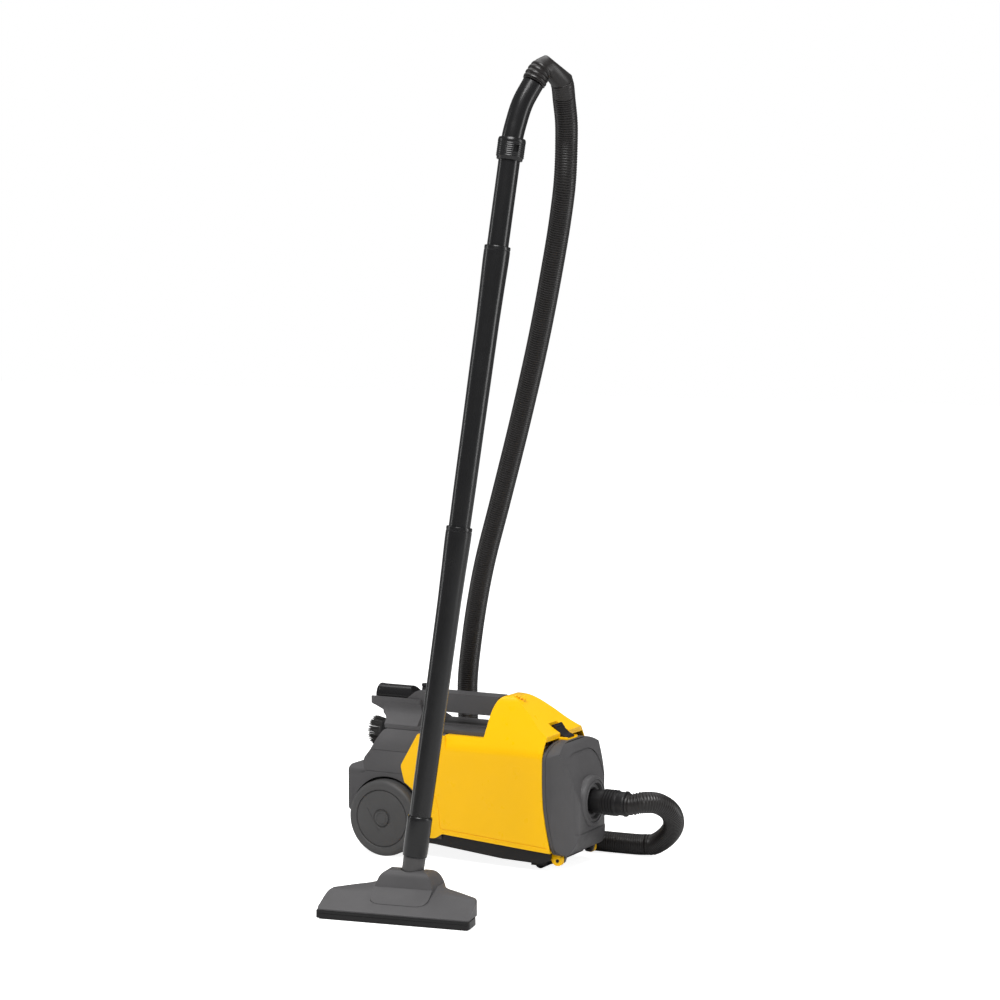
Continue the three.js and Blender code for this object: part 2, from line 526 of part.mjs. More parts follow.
/** The neck's direction in the nozzle's own axes, leaned back about the drum by the given degrees. */
function leaned(degrees) {
  const turn = new THREE.Quaternion().setFromAxisAngle(new THREE.Vector3(0, 0, 1),
    -NOZZLE.turn * Math.PI / 180);
  const tilt = new THREE.Quaternion().setFromAxisAngle(new THREE.Vector3(1, 0, 0),
    -degrees * Math.PI / 180);
  return WAND_DIR.clone().applyQuaternion(turn).applyQuaternion(tilt);
}
function along(direction, r, low, high, segments) {
  const q = new THREE.Quaternion().setFromUnitVectors(new THREE.Vector3(0, 1, 0), direction);
  return solid(new THREE.CylinderGeometry(r, r, high - low, segments).translate(0, (low + high) / 2, 0)
    .applyQuaternion(q));
}

function nozzleBody() {
  const n = NOZZLE;
  const low = FLOOR + n.band + 0.2;
  const plan = slab('xy', footprint(1.5, n.back + 1.5, n.hoodHalf + 4), low, 30);
  const side = slab('yz', [
    [n.front, low], [n.hoodBack, low], [n.hoodBack, 24], [-10, FLOOR + n.top, 20],
    [n.back, FLOOR + n.top - 3, 10],
    [n.front + 1.5, low + 2, 3], [n.front, low + 1],
  ], -n.half, n.half, 4);
  const ends = slab('xz', [
    [-n.half, low], [n.half, low], [n.half - 4, FLOOR + n.lowTop, 6],
    [n.hoodHalf + 8, FLOOR + n.top + 3, 40],
    [-n.hoodHalf - 8, FLOOR + n.top + 3, 40], [4 - n.half, FLOOR + n.lowTop, 6],
  ], -90, 90, 4);
  const tongue = slab('yz', [[-56, FLOOR + 20], [-26, FLOOR + 20], [-26, FLOOR + 44],
    [-56, FLOOR + 25]], -n.half, n.half)
    .intersect(slab('xy', [[-45, -56, 20], [45, -56, 20], [45, -26], [-45, -26]], FLOOR, 30, 5));
  const hoodTop = FLOOR + n.hoodTop;
  const hood = slab('yz', [
    [n.hoodFront, low], [n.hoodBack, low], [n.hoodBack, 16, 14], [14, hoodTop - 1, 10], [-19, hoodTop, 8],
    [n.hoodFront + 1, 10, 4],
  ], -n.hoodHalf, n.hoodHalf, 4).intersect(slab('xz', [
    [-n.hoodHalf, low], [n.hoodHalf, low], [n.hoodHalf, 10, 8], [36, hoodTop, 12], [-36, hoodTop, 12],
    [-n.hoodHalf, 10, 8],
  ], -60, 60, 4));
  let body = plan.intersect(side).intersect(ends).add(tongue).add(hood)
    .subtract(rod('x', DRUM.r + DRUM.clear, -DRUM.half - DRUM.clear, DRUM.half + DRUM.clear));
  for (let lean = LEAN.front; lean <= LEAN.back; lean += LEAN.step) {
    body = body.subtract(along(leaned(lean), TUBE.neckR + DRUM.clear, 0, 70, 20));
  }
  return body;
}
piece(nozzle, 'nozzle_body', nozzleBody(), CHARCOAL);
const SLOT = { half: 92, front: -61, back: -39, ductHalf: 22.5 };
const LINT = { half: 88, front: -70, rear: -36, width: 4 };
const sole = slab('xy', footprint(0, -36, NOZZLE.hoodHalf - 4), FLOOR + 2, FLOOR + NOZZLE.band)
  .add(slab('xy', footprint(3, -36, NOZZLE.hoodHalf - 4), FLOOR, FLOOR + 2.5))
  .subtract(slab('xy', [[-SLOT.half, SLOT.front, 4], [SLOT.half, SLOT.front, 4], [SLOT.half, SLOT.back, 4],
    [-SLOT.half, SLOT.back, 4]], FLOOR - 1, FLOOR + 9))
  .subtract(slab('xy', [[-SLOT.ductHalf, SLOT.front, 4], [SLOT.ductHalf, SLOT.front, 4],
    [SLOT.ductHalf, 16, 4],
    [-SLOT.ductHalf, 16, 4]], FLOOR + 4, FLOOR + 20));
const lintStrip = (y, grow) => block(-LINT.half - grow, LINT.half + grow, y - grow, y + LINT.width + grow,
  FLOOR + (grow > 0 ? -1 : 0.2), FLOOR + 3.2 + grow);
piece(nozzle, 'nozzle_sole', sole.subtract(lintStrip(LINT.front, GAP)).subtract(lintStrip(LINT.rear,
  GAP)), BLACK);
piece(nozzle, 'lint_strip_front', lintStrip(LINT.front, 0), FOAM);
piece(nozzle, 'lint_strip_rear', lintStrip(LINT.rear, 0), FOAM);
const neck = rod('x', DRUM.r, -DRUM.half, DRUM.half, [0, 0, 0], 32).add(along(leaned(0), 16.4, 0,
  WAND.neckTop, 24))
  .subtract(along(leaned(0), 13, -60, WAND.neckTop + 5, 20));
piece(nozzle, 'nozzle_neck', neck, GREY);

// ---------- hose ----------
piece(root, 'hose_bend_relief', swept([
  GRIP_END, [361, -243, 1229], [368, -231, 1238.5], [375, -218, 1236], [378.9, -208.6, 1223.8],
    [379, -205, 1219],
], HOSE_R + 1, 12, 16).subtract(swept([[353, -254, 1207], GRIP_END, [361, -243, 1229]], TUBE.r + GAP, 5,
  16)), BLACK);
const RISER = [
  [379, -204.8, 1218.7], [379, -201.2, 1213.9], [374, -186, 1193], [370, -171, 1164], [364, -158, 1136],
  [353, -141, 1077], [331, -113, 1018], [304, -87, 943], [259, -44, 834], [204, 1, 706], [148, 39, 573],
  [105, 67, 471], [77, 92, 401], [54, 114, 330], [36, 133, 259], [30, 145, 198], [31, 148, 150],
  [40, 145, 100],
  [62, 139, 58], [66, 138.2, 54],
];
const FLOOR_RUN = [
  [66.2, 138.16, 53.8], [70, 137.4, 50], [98, 132, 29], [132, 127, 18.6], [148, 124.9, 17.8],
  [190, 119, 17.5],
  [240, 113, 17.5], [290, 110, 17.5], [335, 112, 17.5], [366, 113.6, 18], [376, 114, 19],
];
const LOOP = [
  [376.3, 114.012, 19.03], [386.3, 114.412, 20.03], [412, 106, 36], [435, 86, 62], [442, 56, 90],
  [432, 28, 107], [416, 7, 110],
  [402, 0, 107], [395.3, 0, 107],
];
piece(root, 'hose_riser', swept(RISER, HOSE_R, 38), RUBBER);
piece(root, 'hose_floor_run', swept(FLOOR_RUN, HOSE_R, 14), RUBBER);
piece(root, 'hose_loop', swept(LOOP, HOSE_R, 14), RUBBER);
const cuff = turned('x', [
  [13, CUFF.start + 2], [18.6, CUFF.start + 2], [18.6, 354.4], [CUFF.r + 1.5, 354.4],
  [CUFF.r + 1.5, 366], [CUFF.r, 367],
  [CUFF.r - 1, CUFF.end], [13, CUFF.end], [13, CUFF.start + 2],
], [0, 0, INLET.z], 28);
piece(root, 'hose_cuff', cuff, BLACK);

export default root;
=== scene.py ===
"""Compact canister vacuum cleaner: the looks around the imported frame.

Shapes are written in millimetres in three local frames, and placed in metres: the canister's
(x = 0 on the rear axle, z = 0 on the floor), the wand's (z up the wand from its foot) and the
floor nozzle's (x along its front edge, origin on the drum that the neck tilts on).
"""
import json
import math
import random
import bmesh
import bpy
from mathutils import Matrix, Vector, noise


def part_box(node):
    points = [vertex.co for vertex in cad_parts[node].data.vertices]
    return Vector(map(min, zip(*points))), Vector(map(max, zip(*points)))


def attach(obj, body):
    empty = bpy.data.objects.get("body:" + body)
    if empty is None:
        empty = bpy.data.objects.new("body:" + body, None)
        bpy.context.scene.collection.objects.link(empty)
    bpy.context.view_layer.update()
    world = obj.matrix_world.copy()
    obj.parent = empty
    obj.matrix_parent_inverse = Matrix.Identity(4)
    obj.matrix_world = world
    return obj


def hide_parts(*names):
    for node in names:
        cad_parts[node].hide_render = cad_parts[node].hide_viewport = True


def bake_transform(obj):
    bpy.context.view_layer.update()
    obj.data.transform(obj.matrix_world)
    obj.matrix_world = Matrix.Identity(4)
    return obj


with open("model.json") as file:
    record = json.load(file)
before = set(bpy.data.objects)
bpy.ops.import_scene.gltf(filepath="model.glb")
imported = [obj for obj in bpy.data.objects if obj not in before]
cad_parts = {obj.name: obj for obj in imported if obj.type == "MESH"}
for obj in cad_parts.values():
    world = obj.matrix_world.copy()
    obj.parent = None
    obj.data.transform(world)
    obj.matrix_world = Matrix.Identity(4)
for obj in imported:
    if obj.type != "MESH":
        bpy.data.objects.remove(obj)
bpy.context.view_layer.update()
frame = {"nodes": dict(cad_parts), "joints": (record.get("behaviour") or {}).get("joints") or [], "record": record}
SCENE = bpy.context.scene
JOINT = {joint["name"]: joint for joint in frame["joints"]}
MM = 0.001
TAU = 2 * math.pi

# ---------- the three local frames ----------
AXLE = (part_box("rear_axle")[0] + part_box("rear_axle")[1]) / 2
CANISTER = Matrix.Translation((AXLE.x, AXLE.y, 0)) @ Matrix.Scale(MM, 4)
FOOT = Vector(JOINT["nozzle_tilt"]["pos_m"])
WAND_DIR = Vector(JOINT["neck_swivel"]["axis"])
WAND = (Matrix.Translation(FOOT) @ WAND_DIR.to_track_quat("Z", "Y").to_matrix().to_4x4()
        @ Matrix.Scale(MM, 4))
NOZZLE_TURN = math.atan2(JOINT["nozzle_tilt"]["axis"][1], JOINT["nozzle_tilt"]["axis"][0])
NOZZLE = Matrix.Translation(FOOT) @ Matrix.Rotation(NOZZLE_TURN, 4, "Z") @ Matrix.Scale(MM, 4)


# ---------- camera, light and floor ----------
CAMERA_PLACE = Vector((2.0264, -3.5645, 0.95))
CAMERA_TURN, CAMERA_PITCH = math.radians(28), math.radians(5)
CAMERA_LENS = 96.66


def add_camera():
    data = bpy.data.cameras.new("camera")
    data.lens = CAMERA_LENS
    data.sensor_width = 36
    data.clip_end = 50
    cam = bpy.data.objects.new("camera", data)
    cam.location = CAMERA_PLACE
    cam.rotation_euler = (math.pi / 2 - CAMERA_PITCH, 0, CAMERA_TURN)
    SCENE.collection.objects.link(cam)
    SCENE.camera = cam


def add_light(name, size, power, place, target):
    data = bpy.data.lights.new(name, "AREA")
    data.shape = "RECTANGLE"
    data.size, data.size_y = size
    data.energy = power
    lamp = bpy.data.objects.new(name, data)
    lamp.location = place
    lamp.rotation_euler = (Vector(target) - Vector(place)).to_track_quat("-Z", "Y").to_euler()
    SCENE.collection.objects.link(lamp)


WORLD_GLOW, FLOOR_GLOW = 0.2, 0.9


def add_world():
    """A white backdrop that lights the object only softly."""
    world = bpy.data.worlds.new("studio")
    world.use_nodes = True
    tree = world.node_tree
    ground = tree.nodes["Background"]
    ground.inputs["Color"].default_value = (1, 1, 1, 1)
    seen = tree.nodes.new("ShaderNodeLightPath")
    level = tree.nodes.new("ShaderNodeMapRange")
    level.inputs["To Min"].default_value = WORLD_GLOW
    level.inputs["To Max"].default_value = 1.0
    tree.links.new(seen.outputs["Is Camera Ray"], level.inputs["Value"])
    tree.links.new(level.outputs["Result"], ground.inputs["Strength"])
    SCENE.world = world
    SCENE.view_settings.view_transform = "Standard"


def add_floor():
    shape = bmesh.new()
    bmesh.ops.create_grid(shape, x_segments=1, y_segments=1, size=14)
    mesh = bpy.data.meshes.new("floor")
    shape.to_mesh(mesh)
    shape.free()
    floor = bpy.data.objects.new("floor", mesh)
    SCENE.collection.objects.link(floor)
    paint = bpy.data.materials.new("floor_paint")
    paint.use_nodes = True
    face = paint.node_tree.nodes["Principled BSDF"]
    face.inputs["Base Color"].default_value = (0.7, 0.7, 0.7, 1)
    face.inputs["Roughness"].default_value = 0.9
    face.inputs["Specular IOR Level"].default_value = 0.0
    face.inputs["Emission Color"].default_value = (1, 1, 1, 1)
    seen = paint.node_tree.nodes.new("ShaderNodeLightPath")
    glow = paint.node_tree.nodes.new("ShaderNodeMapRange")
    glow.inputs["To Max"].default_value = FLOOR_GLOW
    paint.node_tree.links.new(seen.outputs["Is Camera Ray"], glow.inputs["Value"])
    paint.node_tree.links.new(glow.outputs["Result"], face.inputs["Emission Strength"])
    mesh.materials.append(paint)


add_camera()
add_world()
add_floor()
add_light("key", (2.2, 2.2), 190, (0.9, -2.3, 3.7), (0, 0, 0.3))
add_light("left_strip", (0.5, 2.6), 16, (-3.2, -1.0, 1.1), (0, 0, 0.5))
add_light("right_strip", (0.9, 2.6), 42, (3.4, 0.9, 1.2), (0, 0, 0.4))
add_light("top", (2.6, 2.6), 40, (-0.6, 0.8, 3.4), (0, 0, 0.1))



# ---------- materials ----------
SLOTS = {row["node"]: row["material_slot"] for row in frame["record"]["subparts"]}
for packed in list(bpy.data.materials):
    if packed.name in SLOTS.values():
        packed.name = "packed_" + packed.name


class Finish:
    """A material whose nodes all read Object coordinates."""

    def __init__(self, name, colour, roughness, **sockets):
        self.made = bpy.data.materials.new(name)
        self.made.use_nodes = True
        self.tree = self.made.node_tree
        self.face = self.tree.nodes["Principled BSDF"]
        self.face.inputs["Base Color"].default_value = (*colour, 1)
        self.face.inputs["Roughness"].default_value = roughness
        for socket, value in sockets.items():
            self.face.inputs[socket.replace("_", " ")].default_value = value
        self.place = self.tree.nodes.new("ShaderNodeTexCoord").outputs["Object"]
        self.height = None

    def link(self, source, target):
        self.tree.links.new(source, target)

    def noise(self, scale, detail=3, roughness=0.5, stretch=(1, 1, 1)):
        """Noise whose features are about 1 / scale metres across."""
        spread = self.tree.nodes.new("ShaderNodeMapping")
        spread.inputs["Scale"].default_value = stretch
        cloud = self.tree.nodes.new("ShaderNodeTexNoise")
        cloud.inputs["Scale"].default_value = scale
        cloud.inputs["Detail"].default_value = detail
        cloud.inputs["Roughness"].default_value = roughness
        self.link(self.place, spread.inputs["Vector"])
        self.link(spread.outputs["Vector"], cloud.inputs["Vector"])
        return cloud.outputs["Fac"]

    def cells(self, scale):
        cell = self.tree.nodes.new("ShaderNodeTexVoronoi")
        cell.inputs["Scale"].default_value = scale
        self.link(self.place, cell.inputs["Vector"])
        return cell.outputs["Distance"]

    def ranged(self, source, low, high, start=0.0, end=1.0):
        """The source's span from start to end, as low to high."""
        span = self.tree.nodes.new("ShaderNodeMapRange")
        for socket, value in zip(("From Min", "From Max", "To Min", "To Max"), (start, end, low, high)):
            span.inputs[socket].default_value = value
        self.link(source, span.inputs["Value"])
        return span.outputs["Result"]

    def tint(self, source, first, second, start=0.35, end=0.65):
        """The base colour runs from first to second with the source."""
        ramp = self.tree.nodes.new("ShaderNodeValToRGB")
        ramp.color_ramp.elements[0].position, ramp.color_ramp.elements[1].position = start, end
        ramp.color_ramp.elements[0].color = (*first, 1)
        ramp.color_ramp.elements[1].color = (*second, 1)
        self.link(source, ramp.inputs["Fac"])
        self.link(ramp.outputs["Color"], self.face.inputs["Base Color"])
        return self

    def rough(self, source, low, high, start=0.3, end=0.7):
        self.link(self.ranged(source, low, high, start, end), self.face.inputs["Roughness"])
        return self

    def bump(self, source, depth, strength=0.5):
        """Relief of that depth in metres, on top of any relief that is there already."""
        relief = self.tree.nodes.new("ShaderNodeBump")
        relief.inputs["Distance"].default_value = depth
        relief.inputs["Strength"].default_value = strength
        self.link(source, relief.inputs["Height"])
        if self.height:
            self.link(self.height, relief.inputs["Normal"])
        self.height = relief.outputs["Normal"]
        self.link(self.height, self.face.inputs["Normal"])
        return self


def shade(colour, by):
    return tuple(part * by for part in colour)


def moulded(name, colour, roughness, grain, depth, cloud=0.06, **sockets):
    """Moulded plastic: an even grain, cloudy gloss and faint handling marks."""
    made = Finish(name, colour, roughness, **sockets)
    made.tint(made.noise(14, 4), shade(colour, 1 - cloud), shade(colour, 1 + cloud))
    made.rough(made.noise(38, 5, 0.6), roughness * 0.86, roughness * 1.16)
    made.bump(made.noise(grain, 2, 0.6), depth)
    return made


YELLOW = moulded("yellow_shell", (0.96, 0.53, 0.0015), 0.3, 260, 0.00006, 0.012, Specular_IOR_Level=0.25)
CHARCOAL = moulded("charcoal_plastic", (0.074, 0.072, 0.074), 0.45, 1500, 0.00008, Specular_IOR_Level=0.3)
WHEEL_GREY = moulded("wheel_plastic", (0.062, 0.061, 0.061), 0.48, 1300, 0.00008, Specular_IOR_Level=0.3)
BLACK = moulded("black_plastic", (0.010, 0.0095, 0.010), 0.4, 1500, 0.00007, Specular_IOR_Level=0.3)
WAND_BLACK = moulded("wand_plastic", (0.009, 0.009, 0.0095), 0.24, 700, 0.00004, Specular_IOR_Level=0.4)
GREY = moulded("grey_plastic", (0.07, 0.068, 0.068), 0.36, 900, 0.00006, Specular_IOR_Level=0.3)
VINYL = moulded("hose_vinyl", (0.012, 0.0105, 0.0102), 0.36, 500, 0.00006, Specular_IOR_Level=0.4)
RUBBER = moulded("rubber", (0.010, 0.010, 0.010), 0.75, 900, 0.0001, Specular_IOR_Level=0.3)


def steel():
    made = Finish("steel", (0.56, 0.57, 0.59), 0.3, Metallic=1.0)
    brushed = made.noise(90, 4, 0.6, (1, 14, 14))
    made.rough(brushed, 0.2, 0.42)
    made.tint(made.noise(60, 3), (0.47, 0.48, 0.5), (0.6, 0.61, 0.63))
    return made.bump(brushed, 0.00005)


def fan_metal():
    made = Finish("fan_metal", (0.68, 0.69, 0.7), 0.34, Metallic=1.0)
    made.rough(made.noise(120, 4, 0.6, (10, 1, 1)), 0.25, 0.45)
    return made.bump(made.cells(900), 0.00004)


def bag_paper():
    made = Finish("bag_paper", (0.74, 0.66, 0.5), 0.88)
    made.tint(made.noise(240, 6, 0.7), (0.68, 0.6, 0.45), (0.8, 0.73, 0.58))
    made.rough(made.noise(160, 3), 0.8, 0.95)
    return made.bump(made.noise(1100, 5, 0.7, (1, 1, 4)), 0.0003)


def card():
    made = Finish("card", (0.42, 0.29, 0.16), 0.85)
    made.tint(made.noise(420, 6, 0.75, (1, 1, 5)), (0.34, 0.23, 0.12), (0.5, 0.36, 0.21))
    return made.bump(made.noise(900, 4, 0.7), 0.0002)


def filter_foam():
    made = Finish("filter_foam", (0.035, 0.04, 0.05), 0.95)
    pores = made.cells(700)
    # the pores are tinted darker where the bump sinks in: painted shade in the pits, on the same mask as the relief
    made.tint(pores, (0.012, 0.014, 0.018), (0.055, 0.06, 0.075), 0.1, 0.6)
    return made.bump(pores, 0.0008, 0.9)


def bristle():
    made = Finish("bristle", (0.012, 0.011, 0.011), 0.5)
    made.tint(made.noise(900, 2), (0.008, 0.008, 0.008), (0.03, 0.027, 0.025))
    return made.bump(made.noise(2500, 2), 0.00005)


STEEL, FAN_METAL, BAG_PAPER, CARD = steel(), fan_metal(), bag_paper(), card()
FOAM, BRISTLE = filter_foam(), bristle()
for node, part in frame["nodes"].items():
    part.data.materials.clear()
    part.data.materials.append(bpy.data.materials[SLOTS[node]])


# ---------- shape tools ----------
def rounded(corners, steps=6):
    """Points round an outline of corners (a, b) or (a, b, cut), each cut corner being curved."""
    points = []
    for i, (a, b, *cut) in enumerate(corners):
        corner = Vector((a, b))
        if not cut or not cut[0]:
            points.append(corner)
            continue
        before, after = (Vector(corners[(i + k) % len(corners)][:2]) - corner for k in (-1, 1))
        start = corner + before.normalized() * min(cut[0], 0.48 * before.length)
        end = corner + after.normalized() * min(cut[0], 0.48 * after.length)
        for k in range(steps + 1):
            t = k / steps
            points.append(start.lerp(corner, t).lerp(corner.lerp(end, t), t))
    return points


AXES = {"xz": lambda a, b, c: (a, c, b), "yz": lambda a, b, c: (c, a, b), "xy": lambda a, b, c: (a, b, c)}


def prism(plane, corners, low, high, steps=6):
    """An outline in plane xz, yz or xy, extruded from low to high along the third axis."""
    shape = bmesh.new()
    lift = AXES[plane]
    ring = [shape.verts.new(lift(p.x, p.y, low)) for p in rounded(corners, steps)]
    face = shape.faces.new(ring)
    grown = bmesh.ops.extrude_face_region(shape, geom=[face])["geom"]
    verts = [v for v in grown if isinstance(v, bmesh.types.BMVert)]
    bmesh.ops.translate(shape, verts=verts, vec=lift(0, 0, high - low))
    bmesh.ops.recalc_face_normals(shape, faces=shape.faces)
    return shape


SPIN_FROM_Z = {"z": Matrix.Identity(4), "x": Matrix.Rotation(math.pi / 2, 4, "Y"),
               "y": Matrix.Rotation(-math.pi / 2, 4, "X")}


def spun(axis, profile, centre=(0, 0, 0), steps=64, closed=True):
    """A profile of (radius, height) turned about axis x, y or z through centre."""
    shape = bmesh.new()
    verts = [shape.verts.new((r, 0, h)) for r, h in profile]
    edges = [shape.edges.new(pair) for pair in zip(verts, verts[1:])]
    if closed:
        edges.append(shape.edges.new((verts[-1], verts[0])))
    bmesh.ops.spin(shape, geom=verts + edges, cent=(0, 0, 0), axis=(0, 0, 1), angle=TAU,
                   steps=steps, use_merge=True)
    bmesh.ops.remove_doubles(shape, verts=shape.verts, dist=0.0005)
    bmesh.ops.dissolve_degenerate(shape, edges=shape.edges, dist=0.0004)
    bmesh.ops.transform(shape, matrix=Matrix.Translation(centre) @ SPIN_FROM_Z[axis], verts=shape.verts)
    bmesh.ops.recalc_face_normals(shape, faces=shape.faces)
    return shape


def rod(axis, r, low, high, centre=(0, 0, 0), steps=48):
    return spun(axis, [(0, low), (r, low), (r, high), (0, high)], centre, steps, closed=False)


def block(x0, x1, y0, y1, z0, z1):
    shape = bmesh.new()
    size = Matrix.Diagonal((x1 - x0, y1 - y0, z1 - z0, 1))
    middle = Matrix.Translation(((x0 + x1) / 2, (y0 + y1) / 2, (z0 + z1) / 2))
    bmesh.ops.create_cube(shape, size=1, matrix=middle @ size)
    return shape


def stand_in(shape):
    mesh = bpy.data.meshes.new("stand_in")
    shape.to_mesh(mesh)
    shape.free()
    holder = bpy.data.objects.new("stand_in", mesh)
    SCENE.collection.objects.link(holder)
    return holder


def combined(shape, *steps):
    """shape after each step (operation, other shape): UNION, DIFFERENCE or INTERSECT."""
    base = stand_in(shape)
    others = []
    for operation, other in steps:
        others.append(stand_in(other))
        step = base.modifiers.new("step", "BOOLEAN")
        step.operation, step.object, step.solver = operation, others[-1], "MANIFOLD"
    result = bmesh.new()
    result.from_object(base, bpy.context.evaluated_depsgraph_get())
    for holder in [base, *others]:
        mesh = holder.data
        bpy.data.objects.remove(holder)
        bpy.data.meshes.remove(mesh)
    bmesh.ops.remove_doubles(result, verts=result.verts, dist=0.01)
    bmesh.ops.dissolve_limit(result, angle_limit=math.radians(0.6), verts=result.verts, edges=result.edges)
    return result


def joined(*shapes):
    """Several shapes as one, left as separate shells."""
    result = shapes[0]
    for other in shapes[1:]:
        mesh = bpy.data.meshes.new("stand_in")
        other.to_mesh(mesh)
        other.free()
        result.from_mesh(mesh)
        bpy.data.meshes.remove(mesh)
    return result


def piece(name, shape, finish, body, nodes, local=CANISTER, edge=0.0, sharp=32, segments=2):
    """The finished object of a shape in one of the local frames, riding on a body."""
    bmesh.ops.transform(shape, matrix=local, verts=shape.verts)
    for face in shape.faces:
        face.smooth = True
    for e in shape.edges:
        e.smooth = e.calc_face_angle(0) < math.radians(sharp)
    mesh = bpy.data.meshes.new(name)
    shape.to_mesh(mesh)
    shape.free()
    mesh.materials.append(finish.made)
    made = bpy.data.objects.new(name, mesh)
    SCENE.collection.objects.link(made)
    if edge:
        soften = made.modifiers.new("soft_edges", "BEVEL")
        soften.width, soften.segments = edge * MM, segments
        soften.limit_method, soften.angle_limit = "ANGLE", math.radians(28)
        soften.harden_normals = False
        soften.miter_outer = "MITER_ARC"
    if body:
        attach(made, body)
    if nodes:
        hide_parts(*nodes)
    return made


# ---------- hose ----------
HOSE_R, RIB_PITCH, RIB_DEPTH, HOSE_SIDES = 17.0, 4.0, 1.5, 26
RISER = [
    (379, -204.8, 1218.7), (379, -201.2, 1213.9), (374, -186, 1193), (370, -171, 1164), (364, -158, 1136),
    (353, -141, 1077), (331, -113, 1018), (304, -87, 943), (259, -44, 834), (204, 1, 706), (148, 39, 573),
    (105, 67, 471), (77, 92, 401), (54, 114, 330), (36, 133, 259), (30, 145, 198), (31, 148, 150), (40, 145, 100),
    (62, 139, 58), (66, 138.2, 54),
]
FLOOR_RUN = [
    (66.2, 138.16, 53.8), (70, 137.4, 50), (98, 132, 29), (132, 127, 18.6), (148, 124.9, 17.8), (190, 119, 17.5),
    (240, 113, 17.5), (290, 110, 17.5), (335, 112, 17.5), (366, 113.6, 18), (376, 114, 19),
]
LOOP = [
    (376.3, 114.012, 19.03), (386.3, 114.412, 20.03), (412, 106, 36), (435, 86, 62), (442, 56, 90), (432, 28, 107),
    (416, 7, 110), (402, 0, 107), (395.3, 0, 107),
]
BEND = [
    (356, -250, 1215), (361, -243, 1229), (368, -231, 1238.5), (375, -218, 1236), (378.9, -208.6, 1223.8),
    (379, -205, 1219),
]


def curved(points, step=1.0):
    """Points about a step apart on the centripetal Catmull-Rom curve through the points."""
    knots = [Vector(p) for p in points]
    knots = [2 * knots[0] - knots[1], *knots, 2 * knots[-1] - knots[-2]]
    line = []
    for p0, p1, p2, p3 in zip(knots, knots[1:], knots[2:], knots[3:]):
        t1 = (p1 - p0).length ** 0.5
        t2 = t1 + (p2 - p1).length ** 0.5
        t3 = t2 + (p3 - p2).length ** 0.5
        count = max(2, round((p2 - p1).length / step))
        for k in range(count):
            t = t1 + (t2 - t1) * k / count
            a1 = p0.lerp(p1, t / t1)
            a2 = p1.lerp(p2, (t - t1) / (t2 - t1))
            a3 = p2.lerp(p3, (t - t2) / (t3 - t2))
            b1, b2 = a1.lerp(a2, t / t2), a2.lerp(a3, (t - t1) / (t3 - t1))
            line.append(b1.lerp(b2, (t - t1) / (t2 - t1)))
    return line + [knots[-2]]


def laid(shape, route):
    """A straight shape along z, in millimetres, bent so that its z runs along the route."""
    line = curved(route)
    along, turns = [0.0], []
    across = (line[1] - line[0]).orthogonal().normalized()
    for a, b in zip(line, line[1:]):
        along.append(along[-1] + (b - a).length)
    for i, point in enumerate(line):
        ahead = (line[min(i + 1, len(line) - 1)] - line[max(i - 1, 0)]).normalized()
        across = (across - across.dot(ahead) * ahead).normalized()
        turns.append((across, ahead.cross(across)))
    k = 0
    for vert in sorted(shape.verts, key=lambda v: v.co.z):
        while k < len(along) - 2 and along[k + 1] < vert.co.z:
            k += 1
        share = (vert.co.z - along[k]) / (along[k + 1] - along[k])
        middle = line[k].lerp(line[k + 1], share)
        right = turns[k][0].lerp(turns[k + 1][0], share)
        up = turns[k][1].lerp(turns[k + 1][1], share)
        vert.co = middle + right * vert.co.x + up * vert.co.y
    return shape


def route_length(route):
    line = curved(route)
    return sum((b - a).length for a, b in zip(line, line[1:]))


def ribbed(route, smooth_start=0.0, smooth_end=0.0):
    """A closed tube with rings along the route; its first and last stretches have none."""
    long = route_length(route)
    profile = [(0, 0), (HOSE_R - RIB_DEPTH, 0)]
    ribs = round(long / RIB_PITCH)
    pitch = long / ribs
    for k in range(ribs):
        start = k * pitch
        plain = start < smooth_start or start + pitch > long - smooth_end
        deep = 0.35 * RIB_DEPTH if plain else RIB_DEPTH
        for share, drop in ((0.2, deep), (0.42, 0), (0.78, 0), (1.0, deep)):
            profile.append((HOSE_R - drop, start + share * pitch))
    profile.append((0, long))
    return laid(spun("z", profile, steps=HOSE_SIDES, closed=False), route)


def hose(name, route, body, **stretches):
    tube = piece(name, ribbed(route, **stretches), VINYL, body, [name], sharp=80)
    tube.name = "ribbed_" + name
    return tube


riser = hose("hose_riser", RISER, None, smooth_start=22)
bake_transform(riser)
floor_run = hose("hose_floor_run", FLOOR_RUN, "canister")
loop = hose("hose_loop", LOOP, None)
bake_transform(loop)


def bend_relief():
    """The handle's rubber bend: four collars at the grip, then a smooth arch down to the hose."""
    long = route_length(BEND)
    profile = [(0, 0), (16.2, 0), (17.6, 1.2)]
    for k in range(4):
        start = 2.4 + 5.6 * k
        profile += [(16.4, start), (18, start + 1.4), (18, start + 3.6), (17.2, start + 4.6)]
    profile += [(17.0, 27), (17.2, 34), (17.2, long - 3), (16.4, long), (0, long)]
    return laid(spun("z", profile, steps=40, closed=False), BEND)


relief = piece("hose_bend", bend_relief(), VINYL, "handle", ["hose_bend_relief"], sharp=50)
INLET_Z = 107
CUFF_START, CUFF_END = 332, 394.9


def cuff():
    """The hose's end piece: coarse rings, a smooth band, and the tube that plugs into the cover."""
    profile = [(13, CUFF_START), (18, CUFF_START), (18.6, CUFF_START + 1), (18.6, 354.5)]
    for k in range(5):
        start = 354.8 + 5 * k
        profile += [(18.2, start), (20.6, start + 1.1), (20.8, start + 3.0), (18.6, start + 4.3)]
    profile += [(18.2, 380.5), (18.9, 382), (18.9, 391), (20.2, 391.8), (20.2, 394), (19.2, CUFF_END),
                (13, CUFF_END)]
    return spun("x", profile, (0, 0, INLET_Z), 56)


